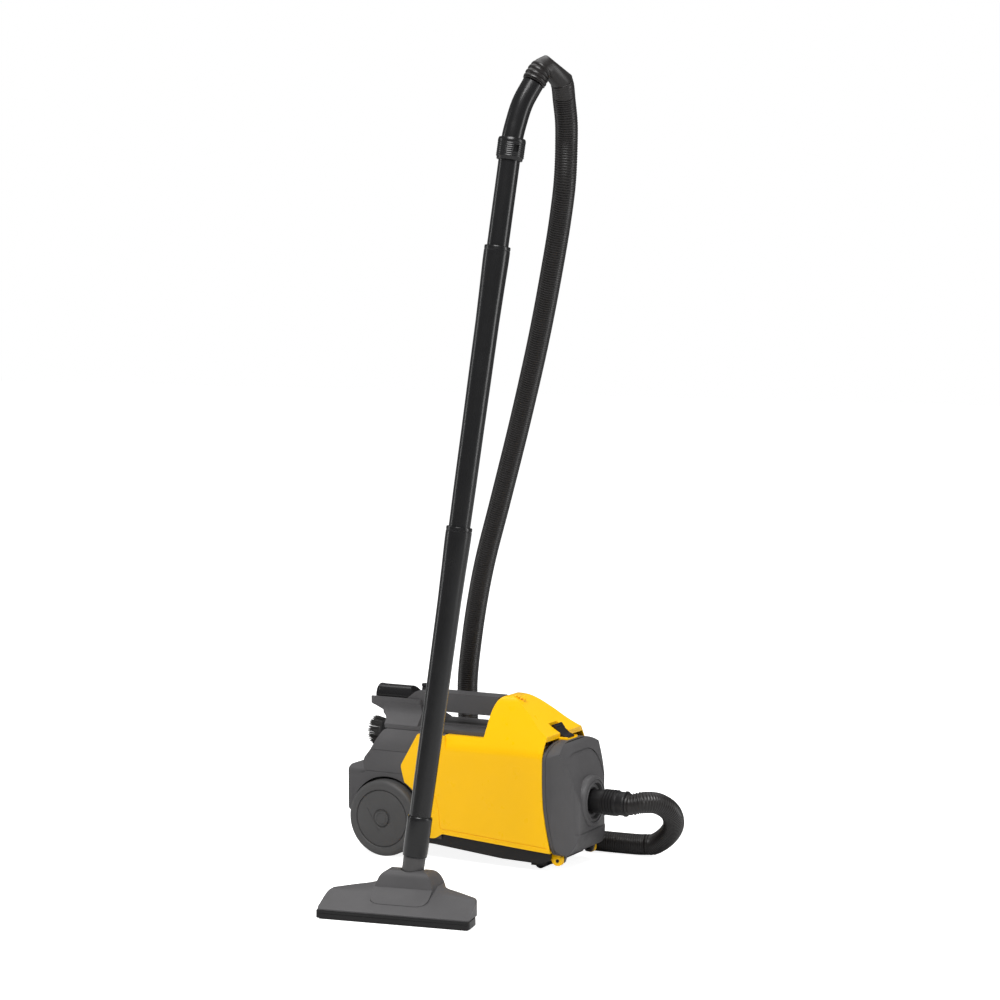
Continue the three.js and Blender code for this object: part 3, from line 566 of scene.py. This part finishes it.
hose_end = piece("hose_end_cuff", cuff(), BLACK, "front_cover", ["hose_cuff"], sharp=50)

# ---------- wand and handle ----------
NECK_TOP, SOCKET_TOP, JOINT_LOW, JOINT_HIGH, COLLAR, COLLAR_TOP = 53, 113, 542, 956, 1082, 1114.6
TUBE_R, TUBE_BORE, INSERT = 16, 14, 55


def flared_wand(low, high):
    """A wand that widens slowly to its top socket and plugs into the piece below it."""
    foot = low - INSERT
    return spun("z", [
        (TUBE_BORE, foot), (15.4, foot), (15.9, foot + 1), (16, low + 0.2), (16.5, low + 60), (16.7, low + 140),
        (17.1, high - 200), (17.5, high - 110), (18.4, high - 60), (19.2, high - 26), (19.3, high - 20),
        (19.3, high - 7), (18.8, high - 6.4), (18.8, high - 5.6), (19.3, high - 5), (19.3, high - 1.4),
        (18.9, high - 0.3), (18.2, high), (16.6, high), (16.35, high - 0.6), (16.35, high - INSERT - 2),
        (TUBE_BORE, high - INSERT - 6),
    ])


piece("lower_wand_tube", flared_wand(SOCKET_TOP, JOINT_LOW), WAND_BLACK, "lower_wand", ["lower_wand"], WAND)
piece("upper_wand_tube", flared_wand(JOINT_LOW + 0.3, JOINT_HIGH), WAND_BLACK, "upper_wand", ["upper_wand"], WAND)
piece("neck_socket_sleeve", spun("z", [
    (16.8, NECK_TOP + 0.3), (17.6, NECK_TOP + 0.3), (18, NECK_TOP + 0.8), (18.1, NECK_TOP + 5), (18.4, NECK_TOP + 6),
    (18.6, SOCKET_TOP - 7), (18.6, SOCKET_TOP - 2.6), (18.2, SOCKET_TOP - 1), (17.6, SOCKET_TOP - 0.3),
    (16.6, SOCKET_TOP - 0.3), (16.4, SOCKET_TOP - 1), (16.4, NECK_TOP + 3),
]), WAND_BLACK, "nozzle_neck", ["neck_socket"], WAND)


def collar():
    """The suction collar: a step ring low down, fine grip lines and a slot over the air bleed."""
    low, high = COLLAR, COLLAR_TOP - 0.3
    profile = [(16.5, low), (18.6, low), (19.2, low + 0.6), (19.2, low + 3.4), (20.2, low + 4.4), (20.5, low + 5)]
    for k in range(7):
        start = low + 6 + 3 * k
        profile += [(20.5, start), (20.1, start + 0.5), (20.1, start + 1), (20.5, start + 1.5)]
    profile += [(20.5, high - 4), (20.1, high - 1.6), (19.2, high), (16.5, high)]
    return combined(spun("z", profile), ("DIFFERENCE", block(-30, -17, -4, 4, low + 12, low + 22)))


piece("suction_control", collar(), WAND_BLACK, "suction_collar", ["suction_collar"], WAND, sharp=50)


def tube_along(route, r, bore, sides=48, spacing=6):
    long = route_length(route)
    count = round(long / spacing)
    heights = [long * k / count for k in range(count + 1)]
    profile = [(r, h) for h in heights[:-1]] + [(r, long - 0.5), (r - 0.5, long)]
    profile += [(bore, h) for h in reversed(heights)]
    return laid(spun("z", profile, steps=sides), route)


def up_wand(height):
    return tuple(CANISTER.inverted() @ WAND @ Vector((0, 0, height)))


GRIP = [up_wand(height) for height in (JOINT_HIGH - 54, JOINT_HIGH, 1020, 1070, COLLAR_TOP)]
GRIP += [(337, -267.5, 1158), (344, -261, 1186), BEND[0]]
piece("handle_grip_tube", tube_along(GRIP, 15.9, TUBE_BORE), WAND_BLACK, "handle", ["handle_tube"])

# ---------- floor nozzle ----------
HALF, FRONT, BACK, BAND, LOW_TOP, TOP = 119, -76, -25, 13, 36, 42
HOOD_HALF, HOOD_FRONT, HOOD_BACK, HOOD_TOP = 46, -29, 27, 67
FLOOR_Z = -FOOT.z / MM


def plan_of(inset, end_back, middle):
    return [(inset - HALF, FRONT + inset, 5), (HALF - inset, FRONT + inset, 5),
            (HALF - 2 - inset, end_back - inset, 9), (middle + 10 - inset, end_back + 19 - inset, 12),
            (middle - 2 - inset, HOOD_BACK - 2 - inset, 8), (2 - middle + inset, HOOD_BACK - 2 - inset, 8),
            (inset - middle - 10, end_back + 19 - inset, 12), (2 - HALF + inset, end_back - inset, 9)]


def leaned(degrees):
    """The way up the neck in the nozzle's frame, leaned back by the degrees."""
    ahead = Matrix.Rotation(-NOZZLE_TURN, 3, "Z") @ WAND_DIR
    return Matrix.Rotation(math.radians(-degrees), 3, "X") @ ahead


def pin_along(direction, r, low, high, bore=0):
    profile = [(bore, low), (r, low), (r, high), (bore, high)]
    shape = spun("z", profile, closed=bool(bore))
    turn = direction.to_track_quat("Z", "Y").to_matrix().to_4x4()
    bmesh.ops.transform(shape, matrix=turn, verts=shape.verts)
    return shape


def nozzle_body():
    low = FLOOR_Z + BAND + 0.2
    side = prism("yz", [
        (FRONT, low), (HOOD_BACK, low), (HOOD_BACK, 24), (-10, FLOOR_Z + TOP, 20), (BACK, FLOOR_Z + TOP - 3, 10),
        (FRONT + 1.5, low + 2, 3), (FRONT, low + 1)], -HALF, HALF)
    ends = prism("xz", [
        (-HALF, low), (HALF, low), (HALF - 4, FLOOR_Z + LOW_TOP, 6), (HOOD_HALF + 8, FLOOR_Z + TOP + 3, 40),
        (-HOOD_HALF - 8, FLOOR_Z + TOP + 3, 40), (4 - HALF, FLOOR_Z + LOW_TOP, 6)], -90, 90)
    tongue = combined(
        prism("yz", [(-56, FLOOR_Z + 20), (-26, FLOOR_Z + 20), (-26, FLOOR_Z + 44), (-56, FLOOR_Z + 25)], -HALF, HALF),
        ("INTERSECT", prism("xy", [(-45, -56, 20), (45, -56, 20), (45, -26), (-45, -26)], FLOOR_Z, 30, 10)))
    top = FLOOR_Z + HOOD_TOP
    hood = combined(
        prism("yz", [(HOOD_FRONT, low), (HOOD_BACK, low), (HOOD_BACK, 16, 14), (14, top - 1, 10), (-19, top, 10),
                     (HOOD_FRONT + 1, 10, 5)], -HOOD_HALF, HOOD_HALF),
        ("INTERSECT", prism("xz", [(-HOOD_HALF, low), (HOOD_HALF, low), (HOOD_HALF, 10, 8), (36, top, 14),
                                   (-36, top, 14), (-HOOD_HALF, 10, 8)], -60, 60)))
    steps = [("INTERSECT", side), ("INTERSECT", ends), ("UNION", tongue), ("UNION", hood),
             ("DIFFERENCE", rod("x", 22.6, -21.6, 21.6))]
    steps += [("DIFFERENCE", pin_along(leaned(k * 4.1 - 3.4), 18, 0, 70)) for k in range(15)]
    return combined(prism("xy", plan_of(1.5, BACK + 1.5, HOOD_HALF + 4), low, 30), *steps)


piece("nozzle_shell", nozzle_body(), CHARCOAL, "nozzle", ["nozzle_body"], NOZZLE, edge=1.0)


def nozzle_band():
    steps = [("UNION", prism("xy", plan_of(3, -36, HOOD_HALF - 4), FLOOR_Z, FLOOR_Z + 2.5)),
             ("DIFFERENCE", prism("xy", [(-92, -61, 4), (92, -61, 4), (92, -39, 4), (-92, -39, 4)],
                                  FLOOR_Z - 1, FLOOR_Z + 9)),
             ("DIFFERENCE", prism("xy", [(-22.5, -61, 4), (22.5, -61, 4), (22.5, 16, 4), (-22.5, 16, 4)],
                                  FLOOR_Z + 4, FLOOR_Z + 20)),
             ("DIFFERENCE", block(-150, 150, FRONT - 2, FRONT + 0.7, FLOOR_Z + 8.4, FLOOR_Z + 9.2))]
    steps += [("DIFFERENCE", block(-88.3, 88.3, y - 0.3, y + 4.3, FLOOR_Z - 1, FLOOR_Z + 3.5)) for y in (-70, -36)]
    return combined(prism("xy", plan_of(0, -36, HOOD_HALF - 4), FLOOR_Z + 2, FLOOR_Z + BAND), *steps)


piece("nozzle_band", nozzle_band(), BLACK, "nozzle", ["nozzle_sole"], NOZZLE, edge=0.6)
piece("nozzle_elbow", combined(
    rod("x", 22, -21, 21, steps=72), ("UNION", pin_along(leaned(0), 16.4, 0, NECK_TOP)),
    ("DIFFERENCE", pin_along(leaned(0), 13, -60, NECK_TOP + 5))), GREY, "nozzle_neck", ["nozzle_neck"], NOZZLE, edge=0.5)

# ---------- rear wheels and front rollers ----------
WHEEL_Z, WHEEL_IN, WHEEL_OUT = 62, 55, 91
SIDES = (("left", -1), ("right", 1))


def wheel(side):
    """Rounded tyre, a groove round the disc, a raised hub ring and one straight moulded line."""
    out, inn = WHEEL_OUT, WHEEL_IN
    profile = [
        (4.4, inn), (14, inn), (14, inn + 8), (48, inn + 8), (50, inn), (60.5, inn), (61.7, inn + 1.2), (62, inn + 3),
        (62, out - 8), (61.6, out - 5.4), (60.4, out - 3), (58.4, out - 1.2), (56, out - 0.3), (53, out), (47.6, out),
        (47, out - 0.5), (46.6, out - 2.2), (45.4, out - 2.2), (45, out - 0.9), (44.4, out - 0.6), (16, out - 0.6),
        (15.2, out - 1.1), (14.6, out - 2), (12.6, out - 2), (12.6, out - 6), (4.4, out - 6)]
    shape = spun("y", [(r, side * h) for r, h in profile], (0, 0, WHEEL_Z), 96)
    line = block(-24.5, 17, -1.1 + side * out, 1.1 + side * out, -0.6, 0.6)
    turn = Matrix.Translation((-5, 0, WHEEL_Z - 3)) @ Matrix.Rotation(math.radians(60), 4, "Y")
    bmesh.ops.transform(line, matrix=Matrix.Translation((-9, 0, -3)) @ turn, verts=line.verts)
    return combined(shape, ("DIFFERENCE", line))


for name, side in SIDES:
    body = "rear_wheel_" + name
    piece(f"wheel_{name}", wheel(side), WHEEL_GREY, body, [body], edge=0.3, sharp=40)
    cap = [(0, 85.3), (12.3, 85.3), (12.3, 90.6), (11.9, 91.4), (11, 91.8), (9.6, 92), (9.2, 91.5), (8.6, 91.5),
           (8.2, 92), (0, 92)]
    piece(f"wheel_cap_{name}", spun("y", [(r, side * h) for r, h in cap], (0, 0, WHEEL_Z), 64, closed=False),
          WHEEL_GREY, body, ["hub_cap_" + name])
    tread = [(2.2, -7), (8, -7), (8.7, -6.6), (9, -5.8), (9, -1.2), (8.7, -0.6), (8.7, 0.6), (9, 1.2), (9, 5.8),
             (8.7, 6.6), (8, 7), (2.2, 7)]
    piece(f"roller_{name}", spun("y", tread, (264, 40 * side, 9), 48), RUBBER, "front_roller_" + name,
          ["front_roller_" + name])

# ---------- dust case ----------
CASE_HALF, CASE_WALL, CASE_REAR, SEAM, SHOULDER, DECK = 78, 2.6, 104, 298, 190, 204


def chamber(inset):
    opening = 6 if inset else 0
    side = prism("xz", [
        (CASE_REAR + inset, 45 + inset, 4), (SEAM + opening, 32 + inset),
        (SEAM + opening, 206 - 2 * inset - opening), (268, 221 - 3 * inset, 30), (236, 249 - inset, 40),
        (206, 267 - inset, 16), (184, 267 - inset, 14), (174 + inset, 248 - inset, 18), (174 + inset, DECK - inset),
        (CASE_REAR + inset, DECK - inset, 3)], -CASE_HALF, CASE_HALF, 12)
    w = CASE_HALF - inset
    front = prism("yz", [
        (-w, 28 + inset, 9), (w, 28 + inset, 9), (w, SHOULDER - 2, 10), (w - 11, 205, 12), (24, 268 - inset, 14),
        (-24, 268 - inset, 14), (11 - w, 205, 12), (-w, SHOULDER - 2, 10)], CASE_REAR - 2, SEAM + 8, 8)
    return combined(side, ("INTERSECT", front))


def wing(side):
    """A side lobe round the wheel, with a round well cut out for the wheel."""
    low, high = sorted((side * 75, side * CASE_HALF))
    flank = prism("xz", [
        (110, 203.7), (60, 203.7, 4), (28, 149, 5), (38, 112, 2), (60, 60), (64, 36.5, 3), (92, 36.5, 6), (104, 45, 3),
        (110, 45)], low, high, 10)
    return combined(flank, ("DIFFERENCE", rod("y", 70, -100, 100, (0, 0, WHEEL_Z), 96)))


SEAM_LINE = [(297.4, 20), (296, 39, 10), (289, 70, 30), (282.8, 117, 40), (283.4, 240)]


def ahead_of_seam(gap):
    """Everything in front of the bowed line where the cover meets the case."""
    return prism("xz", [(x + gap, z, *r) for x, z, *r in SEAM_LINE] + [(340, 240), (340, 20)], -100, 100, 10)


def flank_groove(side):
    """The light crease that runs down behind the lobe and then along the foot of the flank."""
    low, high = sorted((side * (CASE_HALF - 0.7), side * (CASE_HALF + 2)))
    return prism("xz", [
        (84, 118, 4), (97, 92, 26), (100, 52.6, 6), (296, 39.6), (296, 40.8), (101.2, 54, 5), (98.2, 93, 26), (85.2, 119)],
        low, high, 8)


def ear(side):
    low, high = sorted((side * 54, side * 62))
    return prism("xz", [(289, 36), (289, 24, 3), (296, 11, 6), (310, 11, 7), (311, 27, 7), (297.9, 29, 1), (297.9, 36)],
                 low, high, 8)


def dust_case():
    steps = [("DIFFERENCE", chamber(CASE_WALL)), ("DIFFERENCE", ahead_of_seam(0))]
    for _, side in SIDES:
        steps += [("UNION", wing(side)), ("UNION", ear(side)), ("DIFFERENCE", flank_groove(side))]
    steps += [("UNION", prism("yz", [(-18, 199.5), (18, 199.5), (18, 207, 2), (-18, 207, 2)], 259, SEAM)),
              ("DIFFERENCE", block(262, 300, -14.5, 14.5, 204.2, 240)),
              ("DIFFERENCE", rod("y", 2.75, -90, 90, (303, 0, 19))),
              ("DIFFERENCE", rod("x", 34, 100, 112, (0, 0, 112), 64))]
    return combined(chamber(0), *steps)


piece("dust_case_shell", dust_case(), YELLOW, "canister", ["dust_case"], edge=1.4, segments=3)


def case_bumps():
    """A short row of small moulded bumps on the crown of the case."""
    shapes = []
    for k in range(4):
        bump = bmesh.new()
        place = Matrix.Translation((205 + 5.2 * k, -15, 266.4 - 1.1 * k)) @ Matrix.Diagonal((2.1, 4.4, 1.4, 1))
        bmesh.ops.create_uvsphere(bump, u_segments=20, v_segments=12, radius=1, matrix=place)
        shapes.append(bump)
    return joined(*shapes)


piece("dust_case_bumps", case_bumps(), YELLOW, "canister", [])

# ---------- motor housing ----------
WELL_R = 66


def housing(inset):
    front = 12 if inset else 0
    side = prism("xz", [
        (-62 + inset, 36 + inset, 6), (101.5 + front, 36 + inset), (101.5 + front, 203.7 - inset),
        (-12, 203.7 - inset, 6), (-30 + inset, 170, 10), (-42 + inset, 156, 6), (-44 + inset, 146, 8),
        (-40 + inset, 132, 4), (-62 + inset, 124, 3)], -80, 80, 10)
    w = 74.6 - inset
    section = prism("yz", [(-w, 30, 8), (w, 30, 8), (w, 184, 14), (58, 206, 8), (-58, 206, 8), (-w, 184, 14)],
                    -90, 120, 10)
    return combined(side, ("INTERSECT", section))


def wells(extra):
    """The two round rooms that the rear wheels turn in."""
    return [rod("y", WELL_R + extra, *sorted((side * (51 - extra), side * 100)), (0, 0, WHEEL_Z), 96)
            for _, side in SIDES]


BRUSH_X, BRUSH_Z, PEG_R = -34, 188, 13.2
BRUSH_PLACE = Matrix.Translation((BRUSH_X, 0, BRUSH_Z)) @ Matrix.Rotation(-math.pi / 2, 4, "Y")


def motor_housing():
    hollow = combined(housing(3), *[("DIFFERENCE", well) for well in wells(3)])
    box = combined(
        prism("xz", [(-84, 64, 5), (-58, 58), (-58, 110), (-38, 118), (-38, 143), (-56, 143, 6), (-84, 138, 6)], -54, 54),
        ("INTERSECT", prism("yz", [(-54, 50), (54, 50), (54, 131, 3), (40, 144, 3), (-40, 144, 3), (-54, 131, 3)],
                            -90, -30)))
    steps = [("DIFFERENCE", well) for well in wells(0)]
    steps += [("UNION", box), ("DIFFERENCE", hollow), ("DIFFERENCE", block(-81, -50, -47, 47, 70, 130)),
              ("DIFFERENCE", block(-86, -80, -44, 44, 74, 126)),
              ("UNION", rod("x", PEG_R, -44, -5, (0, 0, BRUSH_Z))),
              ("DIFFERENCE", rod("y", 4.3, -60, 60, (0, 0, WHEEL_Z))),
              ("DIFFERENCE", rod("x", 6.4, -70, -50, (0, 38, 49.4)))]
    # the crease above the barrel and the parting line below it
    for z in (134.5, 170):
        steps += [("DIFFERENCE", block(-70, 40, *sorted((side * 74, side * 80)), z, z + 0.9)) for _, side in SIDES]
    return combined(housing(0), *steps)


piece("motor_housing_shell", motor_housing(), CHARCOAL, "canister", ["motor_housing"], edge=1.2)


def grille():
    bars = [("DIFFERENCE", block(-90, -78, -38, 38, 79 + 7.6 * k, 82.6 + 7.6 * k)) for k in range(6)]
    bars += [("DIFFERENCE", block(-90, -83.7, -0.5, 0.5, 76, 124))]
    return combined(prism("yz", [(-43.6, 74.4, 3), (43.6, 74.4, 3), (43.6, 125.6, 3), (-43.6, 125.6, 3)], -84.5, -81),
                    *bars)


piece("exhaust_louvre", grille(), BLACK, "canister", ["exhaust_grille"], edge=0.5)


def gland():
    """The strain relief where the mains cord leaves: rings that narrow to the rear."""
    profile = [(0, -57), (6, -57), (6, -62.4), (7.8, -62.4), (7.7, -63.4)]
    for k in range(4):
        start, r = -64.2 - 2.9 * k, 7.4 - 0.25 * k
        profile += [(r, start), (r, start - 1.3), (r - 1.1, start - 1.7), (r - 1.1, start - 2.5)]
    profile += [(6.2, -75.8), (4.2, -76), (4.2, -64), (0, -64)]
    return spun("x", profile, (0, 38, 49.4), 48, closed=False)


piece("mains_strain_relief", gland(), RUBBER, "canister", ["cord_gland"], sharp=50)

# ---------- base pan ----------
def pan_layer(half, lift):
    """One layer of the pan, whose underside is raised by lift and whose sides stand at +-half."""
    return prism("xz", [
        (-58, 25 + lift, 6), (77, 21 + lift), (200, 10 + lift), (283, 8 + lift, 4), (296, 14 + lift, 4), (296, 31.6),
        (104.4, 44.2), (102.6, 35.7), (-58, 35.7, 3)], -half, half)


def base_pan():
    steps = [("UNION", pan_layer(64, 3.5)), ("UNION", pan_layer(52, 0))]
    steps += [("DIFFERENCE", well) for well in wells(0)]
    for _, side in SIDES:
        y = side * 40
        low, high = sorted((side * 46, side * 68))
        steps += [("DIFFERENCE", block(280, 300, low, high, 0, 40)),
                  ("UNION", block(251, 277, y - 11.5, y + 11.5, 5.5, 20)),
                  ("DIFFERENCE", block(252, 276, y - 8.2, y + 8.2, -5, 21)),
                  ("DIFFERENCE", rod("y", 2.1, y - 11, y + 11, (264, 0, 9))),
                  ("DIFFERENCE", block(262, 266, y - 11, y + 11, 0, 9))]
    steps += [("DIFFERENCE", rod("z", 4.4, 0, z + 5.4, (x, y, 0)))
              for x, z in ((80, 22.6), (225, 15.6)) for y in (-40, 40)]
    return combined(pan_layer(74, 6.5), *steps)


piece("base_tray", base_pan(), BLACK, "canister", ["base_pan"], edge=1.0)

# ---------- carry handle, tray and stored tools ----------
TRAY_TOP, BAR_LOW, BAR_TOP, TOOL_Z = 248, 231, 262, 250


def carry_handle():
    base = DECK + 0.3
    plate = prism("xy", [(-10, -58, 14), (173.4, -58, 4), (173.4, 58, 4), (-10, 58, 14)], base, base + 6, 10)
    frame_side = prism("xz", [
        (-12, base), (173.4, base), (173.4, BAR_TOP, 2), (44, BAR_TOP, 2), (30, 254, 2), (30, TRAY_TOP, 2),
        (-40, TRAY_TOP, 2), (-32, 226, 6), (-16, 219, 8)], -17, 17, 10)
    window = prism("xz", [(54, 211.5, 8), (162, 211.5, 6), (166, BAR_LOW, 5), (54, BAR_LOW, 8)], -20, 20, 10)
    tray = combined(
        prism("xy", [(-61, -26, 12), (36, -26, 8), (36, 26, 8), (-61, 26, 12)], 225, TRAY_TOP, 10),
        ("INTERSECT", prism("xz", [(-61, TRAY_TOP, 2), (-61, 238, 6), (-48, 234, 4), (-30, 226), (36, 226),
                                   (36, TRAY_TOP)], -30, 30)))
    taper = prism("yz", [(-58, 200), (58, 200), (58, 211, 2), (27, 229, 8), (27, 252, 4), (-27, 252, 4), (-27, 229, 8),
                         (-58, 211, 2)], -70, 60, 10)
    post = combined(prism("xz", [(-12, base), (50, base), (36, 240), (-34, 240), (-32, 226, 6), (-16, 219, 8)],
                          -58, 58, 8), ("INTERSECT", taper))
    ramp = prism("xz", [(4, 240), (44, 240), (44, BAR_TOP, 3), (25, BAR_TOP, 4), (5, 247)], -20, 20)
    return combined(
        frame_side, ("DIFFERENCE", window), ("UNION", plate), ("UNION", tray), ("UNION", post), ("UNION", ramp),
        ("DIFFERENCE", rod("x", 17.5, -90, 21, (0, 0, TOOL_Z), 96)),
        ("DIFFERENCE", block(-90, 148, -13.5, 13.5, 235.3, 247.3)),
        ("DIFFERENCE", rod("z", 5.1, 250.5, 400, (29, 0, 0), 64)))


piece("carry_handle_frame", carry_handle(), CHARCOAL, "canister", ["carry_handle"], edge=1.6, segments=3)
piece("power_push_button", spun("z", [
    (0, 253.8), (4.4, 253.8), (4.4, 264.6), (3.8, 265.6), (3.8, 266.8), (4.5, 267.2), (4.9, 267.8), (4.9, 270.2),
    (4.5, 271.3), (3.6, 272), (0, 271.7)], (29, 0, 0), closed=False), BLACK, "power_button", ["power_button"])


def crevice_tool():
    """The stored crevice tool: a round socket cut on the slant and a flat hollow blade."""
    socket = spun("x", [(14.6, -53), (16.6, -53), (17, -52.5), (17, -48.5), (16.5, -47.9), (16.5, 6), (14.6, 6)],
                  (0, 0, TOOL_Z), 72)
    cone = combined(rod("x", 16.5, 4, 20, (0, 0, TOOL_Z), 72),
                    ("INTERSECT", prism("xz", [(4, 230), (20, 230), (20, 248.8), (4, 270)], -20, 20)))
    blade = prism("xz", [(16, 235.8), (132, 235.8), (146, 246.8), (16, 246.8)], -13, 13)
    inside = prism("xz", [(2, 237.8), (155, 237.8), (155, 244.8), (2, 244.8)], -11, 11)
    return combined(socket, ("UNION", cone), ("UNION", blade), ("DIFFERENCE", inside))


piece("crevice_nozzle", crevice_tool(), WAND_BLACK, "crevice_tool", ["crevice_tool"], edge=0.5)
piece("brush_collar", spun("x", [(r, BRUSH_X - h) for r, h in (
    (13.6, 0), (17.4, 0), (18, 0.8), (18, 1.4), (19.4, 1.8), (20, 2.5), (20, 5), (19.5, 5.5), (19.5, 6.3), (20, 6.8),
    (20, 9.8), (19.4, 11), (13.6, 11))], (0, 0, BRUSH_Z)), BLACK, "dusting_brush", ["brush_body"])


def tufts():
    """Two rings of bristle tufts, each a bundle of thin tapered hairs that splay outwards."""
    random.seed(7)
    shapes = []
    for ring, count, lean in ((14.9, 26, 0.13), (16.9, 30, 0.17), (18.6, 34, 0.21)):
        for k in range(count):
            around = TAU * (k + 0.5 * (ring > 16)) / count
            for _ in range(8):
                turn = around + random.uniform(-0.07, 0.07)
                start = ring + random.uniform(-0.7, 0.7)
                high = random.uniform(28.5, 32.8)
                out = start + (high - 10.6) * (lean + random.uniform(-0.03, 0.03))
                foot = Vector((start * math.cos(turn), start * math.sin(turn), 10.6))
                tip = Vector((out * math.cos(turn + 0.02), out * math.sin(turn + 0.02), high))
                hair = bmesh.new()
                bmesh.ops.create_cone(hair, cap_ends=True, segments=6, radius1=0.42, radius2=0.24,
                                      depth=(tip - foot).length)
                way = (tip - foot).to_track_quat("Z", "Y").to_matrix().to_4x4()
                place = Matrix.Translation((foot + tip) / 2) @ way
                bmesh.ops.transform(hair, matrix=BRUSH_PLACE @ place, verts=hair.verts)
                shapes.append(hair)
    return joined(*shapes)


piece("brush_tufts", tufts(), BRISTLE, "dusting_brush", ["brush_bristles"])

# ---------- dust bag ----------
def paper_bag():
    """A part-filled paper bag: rounded, with soft creases and a seam fold along each side."""
    bag = bmesh.new()
    bmesh.ops.create_cube(bag, size=2)
    bmesh.ops.subdivide_edges(bag, edges=bag.edges[:], cuts=26, use_grid_fill=True)
    for vert in bag.verts:
        p = vert.co
        norm = (abs(p.x) ** 5 + abs(p.y) ** 5 + abs(p.z) ** 5) ** (1 / 5)
        round_off = 0.55 + 0.45 / norm
        crease = noise.noise(Vector((2.2 * p.x, 2.6 * p.y, 2.4 * p.z))) + 0.5 * noise.noise(6 * p)
        fold = math.exp(-(p.z / 0.05) ** 2) * (abs(p.y) > 0.7)
        pull = round_off * (0.955 + 0.03 * crease - 0.03 * fold)
        vert.co = Vector((200.5 + 82 * p.x * pull, 64 * p.y * pull, 121 + 76 * p.z * pull))
    return bag


piece("paper_dust_bag", paper_bag(), BAG_PAPER, "canister", ["dust_bag"], sharp=180)

# ---------- front cover, inlet and latch ----------
def cover_shell(inset):
    """The cover's bowed shape: its foot swells forward, its top and its corners fall back."""
    back = -6 if inset else 0
    side = prism("xz", [(x + 0.6 + back, z) for x, z in ((297, 26 + inset), (296, 39))] + [
        (289.6 + back, 70, 30), (283.4 + back, 117, 40), (284 + back, 203.5 - inset, 3), (305 - inset, 203.5 - inset, 10),
        (326 - inset, 150, 60), (337 - inset, 100, 40), (337 - inset, 62, 34), (322 - inset, 24.5 + inset, 20)],
        -90, 90, 12)
    w = CASE_HALF - inset
    top = prism("xy", [
        (270, -w), (296, -w, 14), (324 - inset, -62, 26), (342 - inset, -32, 30), (342 - inset, 32, 30),
        (324 - inset, 62, 26), (296, w, 14), (270, w)], 0, 240, 12)
    face = prism("yz", [
        (-w + 4, 26 + inset, 22), (w - 4, 26 + inset, 22), (w, 120, 60), (w, 187 - inset, 12),
        (42, 203.5 - inset, 26), (-42, 203.5 - inset, 26), (-w, 187 - inset, 12), (-w, 120, 60)], 260, 360, 12)
    return combined(side, ("INTERSECT", top), ("INTERSECT", face))


def arch():
    """The shallow recess in the cover's face: an arch over the inlet, open at the foot."""
    outer = prism("yz", [(-52, 60), (52, 60), (56, 130, 50), (50, 186, 30), (-50, 186, 30), (-56, 130, 50)], 300, 360, 12)
    return combined(outer, ("DIFFERENCE", cover_shell(1.3)))


def knuckle(side):
    low, high = sorted((side * 53.5, side * 47))
    return prism("xz", [(296.5, 13, 5), (309.5, 13, 5), (315, 34, 3), (302, 34, 2), (296.5, 25, 4)], low, high, 8)


def front_cover():
    steps = [("DIFFERENCE", cover_shell(2.6)), ("DIFFERENCE", arch())]
    steps += [("UNION", knuckle(side)) for _, side in SIDES]
    steps += [("DIFFERENCE", rod("y", 3, -90, 90, (303, 0, 19))),
              ("DIFFERENCE", block(280, 313, 53.7, 62.3, 8, 30)), ("DIFFERENCE", block(280, 313, -62.3, -53.7, 8, 30)),
              ("DIFFERENCE", rod("x", 24.2, 305, 360, (0, 0, INLET_Z), 72)),
              ("DIFFERENCE", rod("x", 40.3, 325.7, 360, (0, 0, INLET_Z), 96))]
    # the rim band: a groove all round, a little way in from the seam
    line = combined(ahead_of_seam(6), ("DIFFERENCE", ahead_of_seam(7)), ("DIFFERENCE", cover_shell(0.8)))
    return combined(cover_shell(0), *steps, ("DIFFERENCE", line))


piece("front_cover_shell", front_cover(), CHARCOAL, "front_cover", ["front_cover"], edge=0.8)
piece("hose_inlet_ring", spun("x", [
    (17.4, 286), (19.6, 286), (19.6, 318), (23.8, 318), (23.8, 326), (40, 326), (40, 335.4), (39, 337), (36.6, 338),
    (34.6, 338.4), (33.6, 337.2), (32.4, 337.2), (31.6, 338.2), (29, 338.8), (27.6, 337), (26.4, 334), (23, 334),
    (21.4, 333.4), (20.6, 332.6), (20.6, 331), (17.4, 329)], (0, 0, INLET_Z), 96),
    CHARCOAL, "front_cover", ["inlet_ring"], sharp=40)


def latch():
    lever = prism("xz", [
        (266, 210.5, 1), (276, 205.4, 2), (284, 204.6, 1), (294, 204.4, 1), (294, 207.6, 2), (286, 210, 3), (279, 216, 3),
        (272, 226, 2), (267, 224, 2)], -13.8, 13.8, 8)
    grooves = [("DIFFERENCE", block(268 + 3 * k, 269.2 + 3 * k, -10, 10, 222 - 1.2 * k, 230)) for k in range(4)]
    return combined(lever, ("DIFFERENCE", rod("y", 1.9, -20, 20, (276, 0, 209.5))), *grooves)


piece("latch_lever", latch(), BLACK, "cover_latch", ["cover_latch"], edge=0.5)
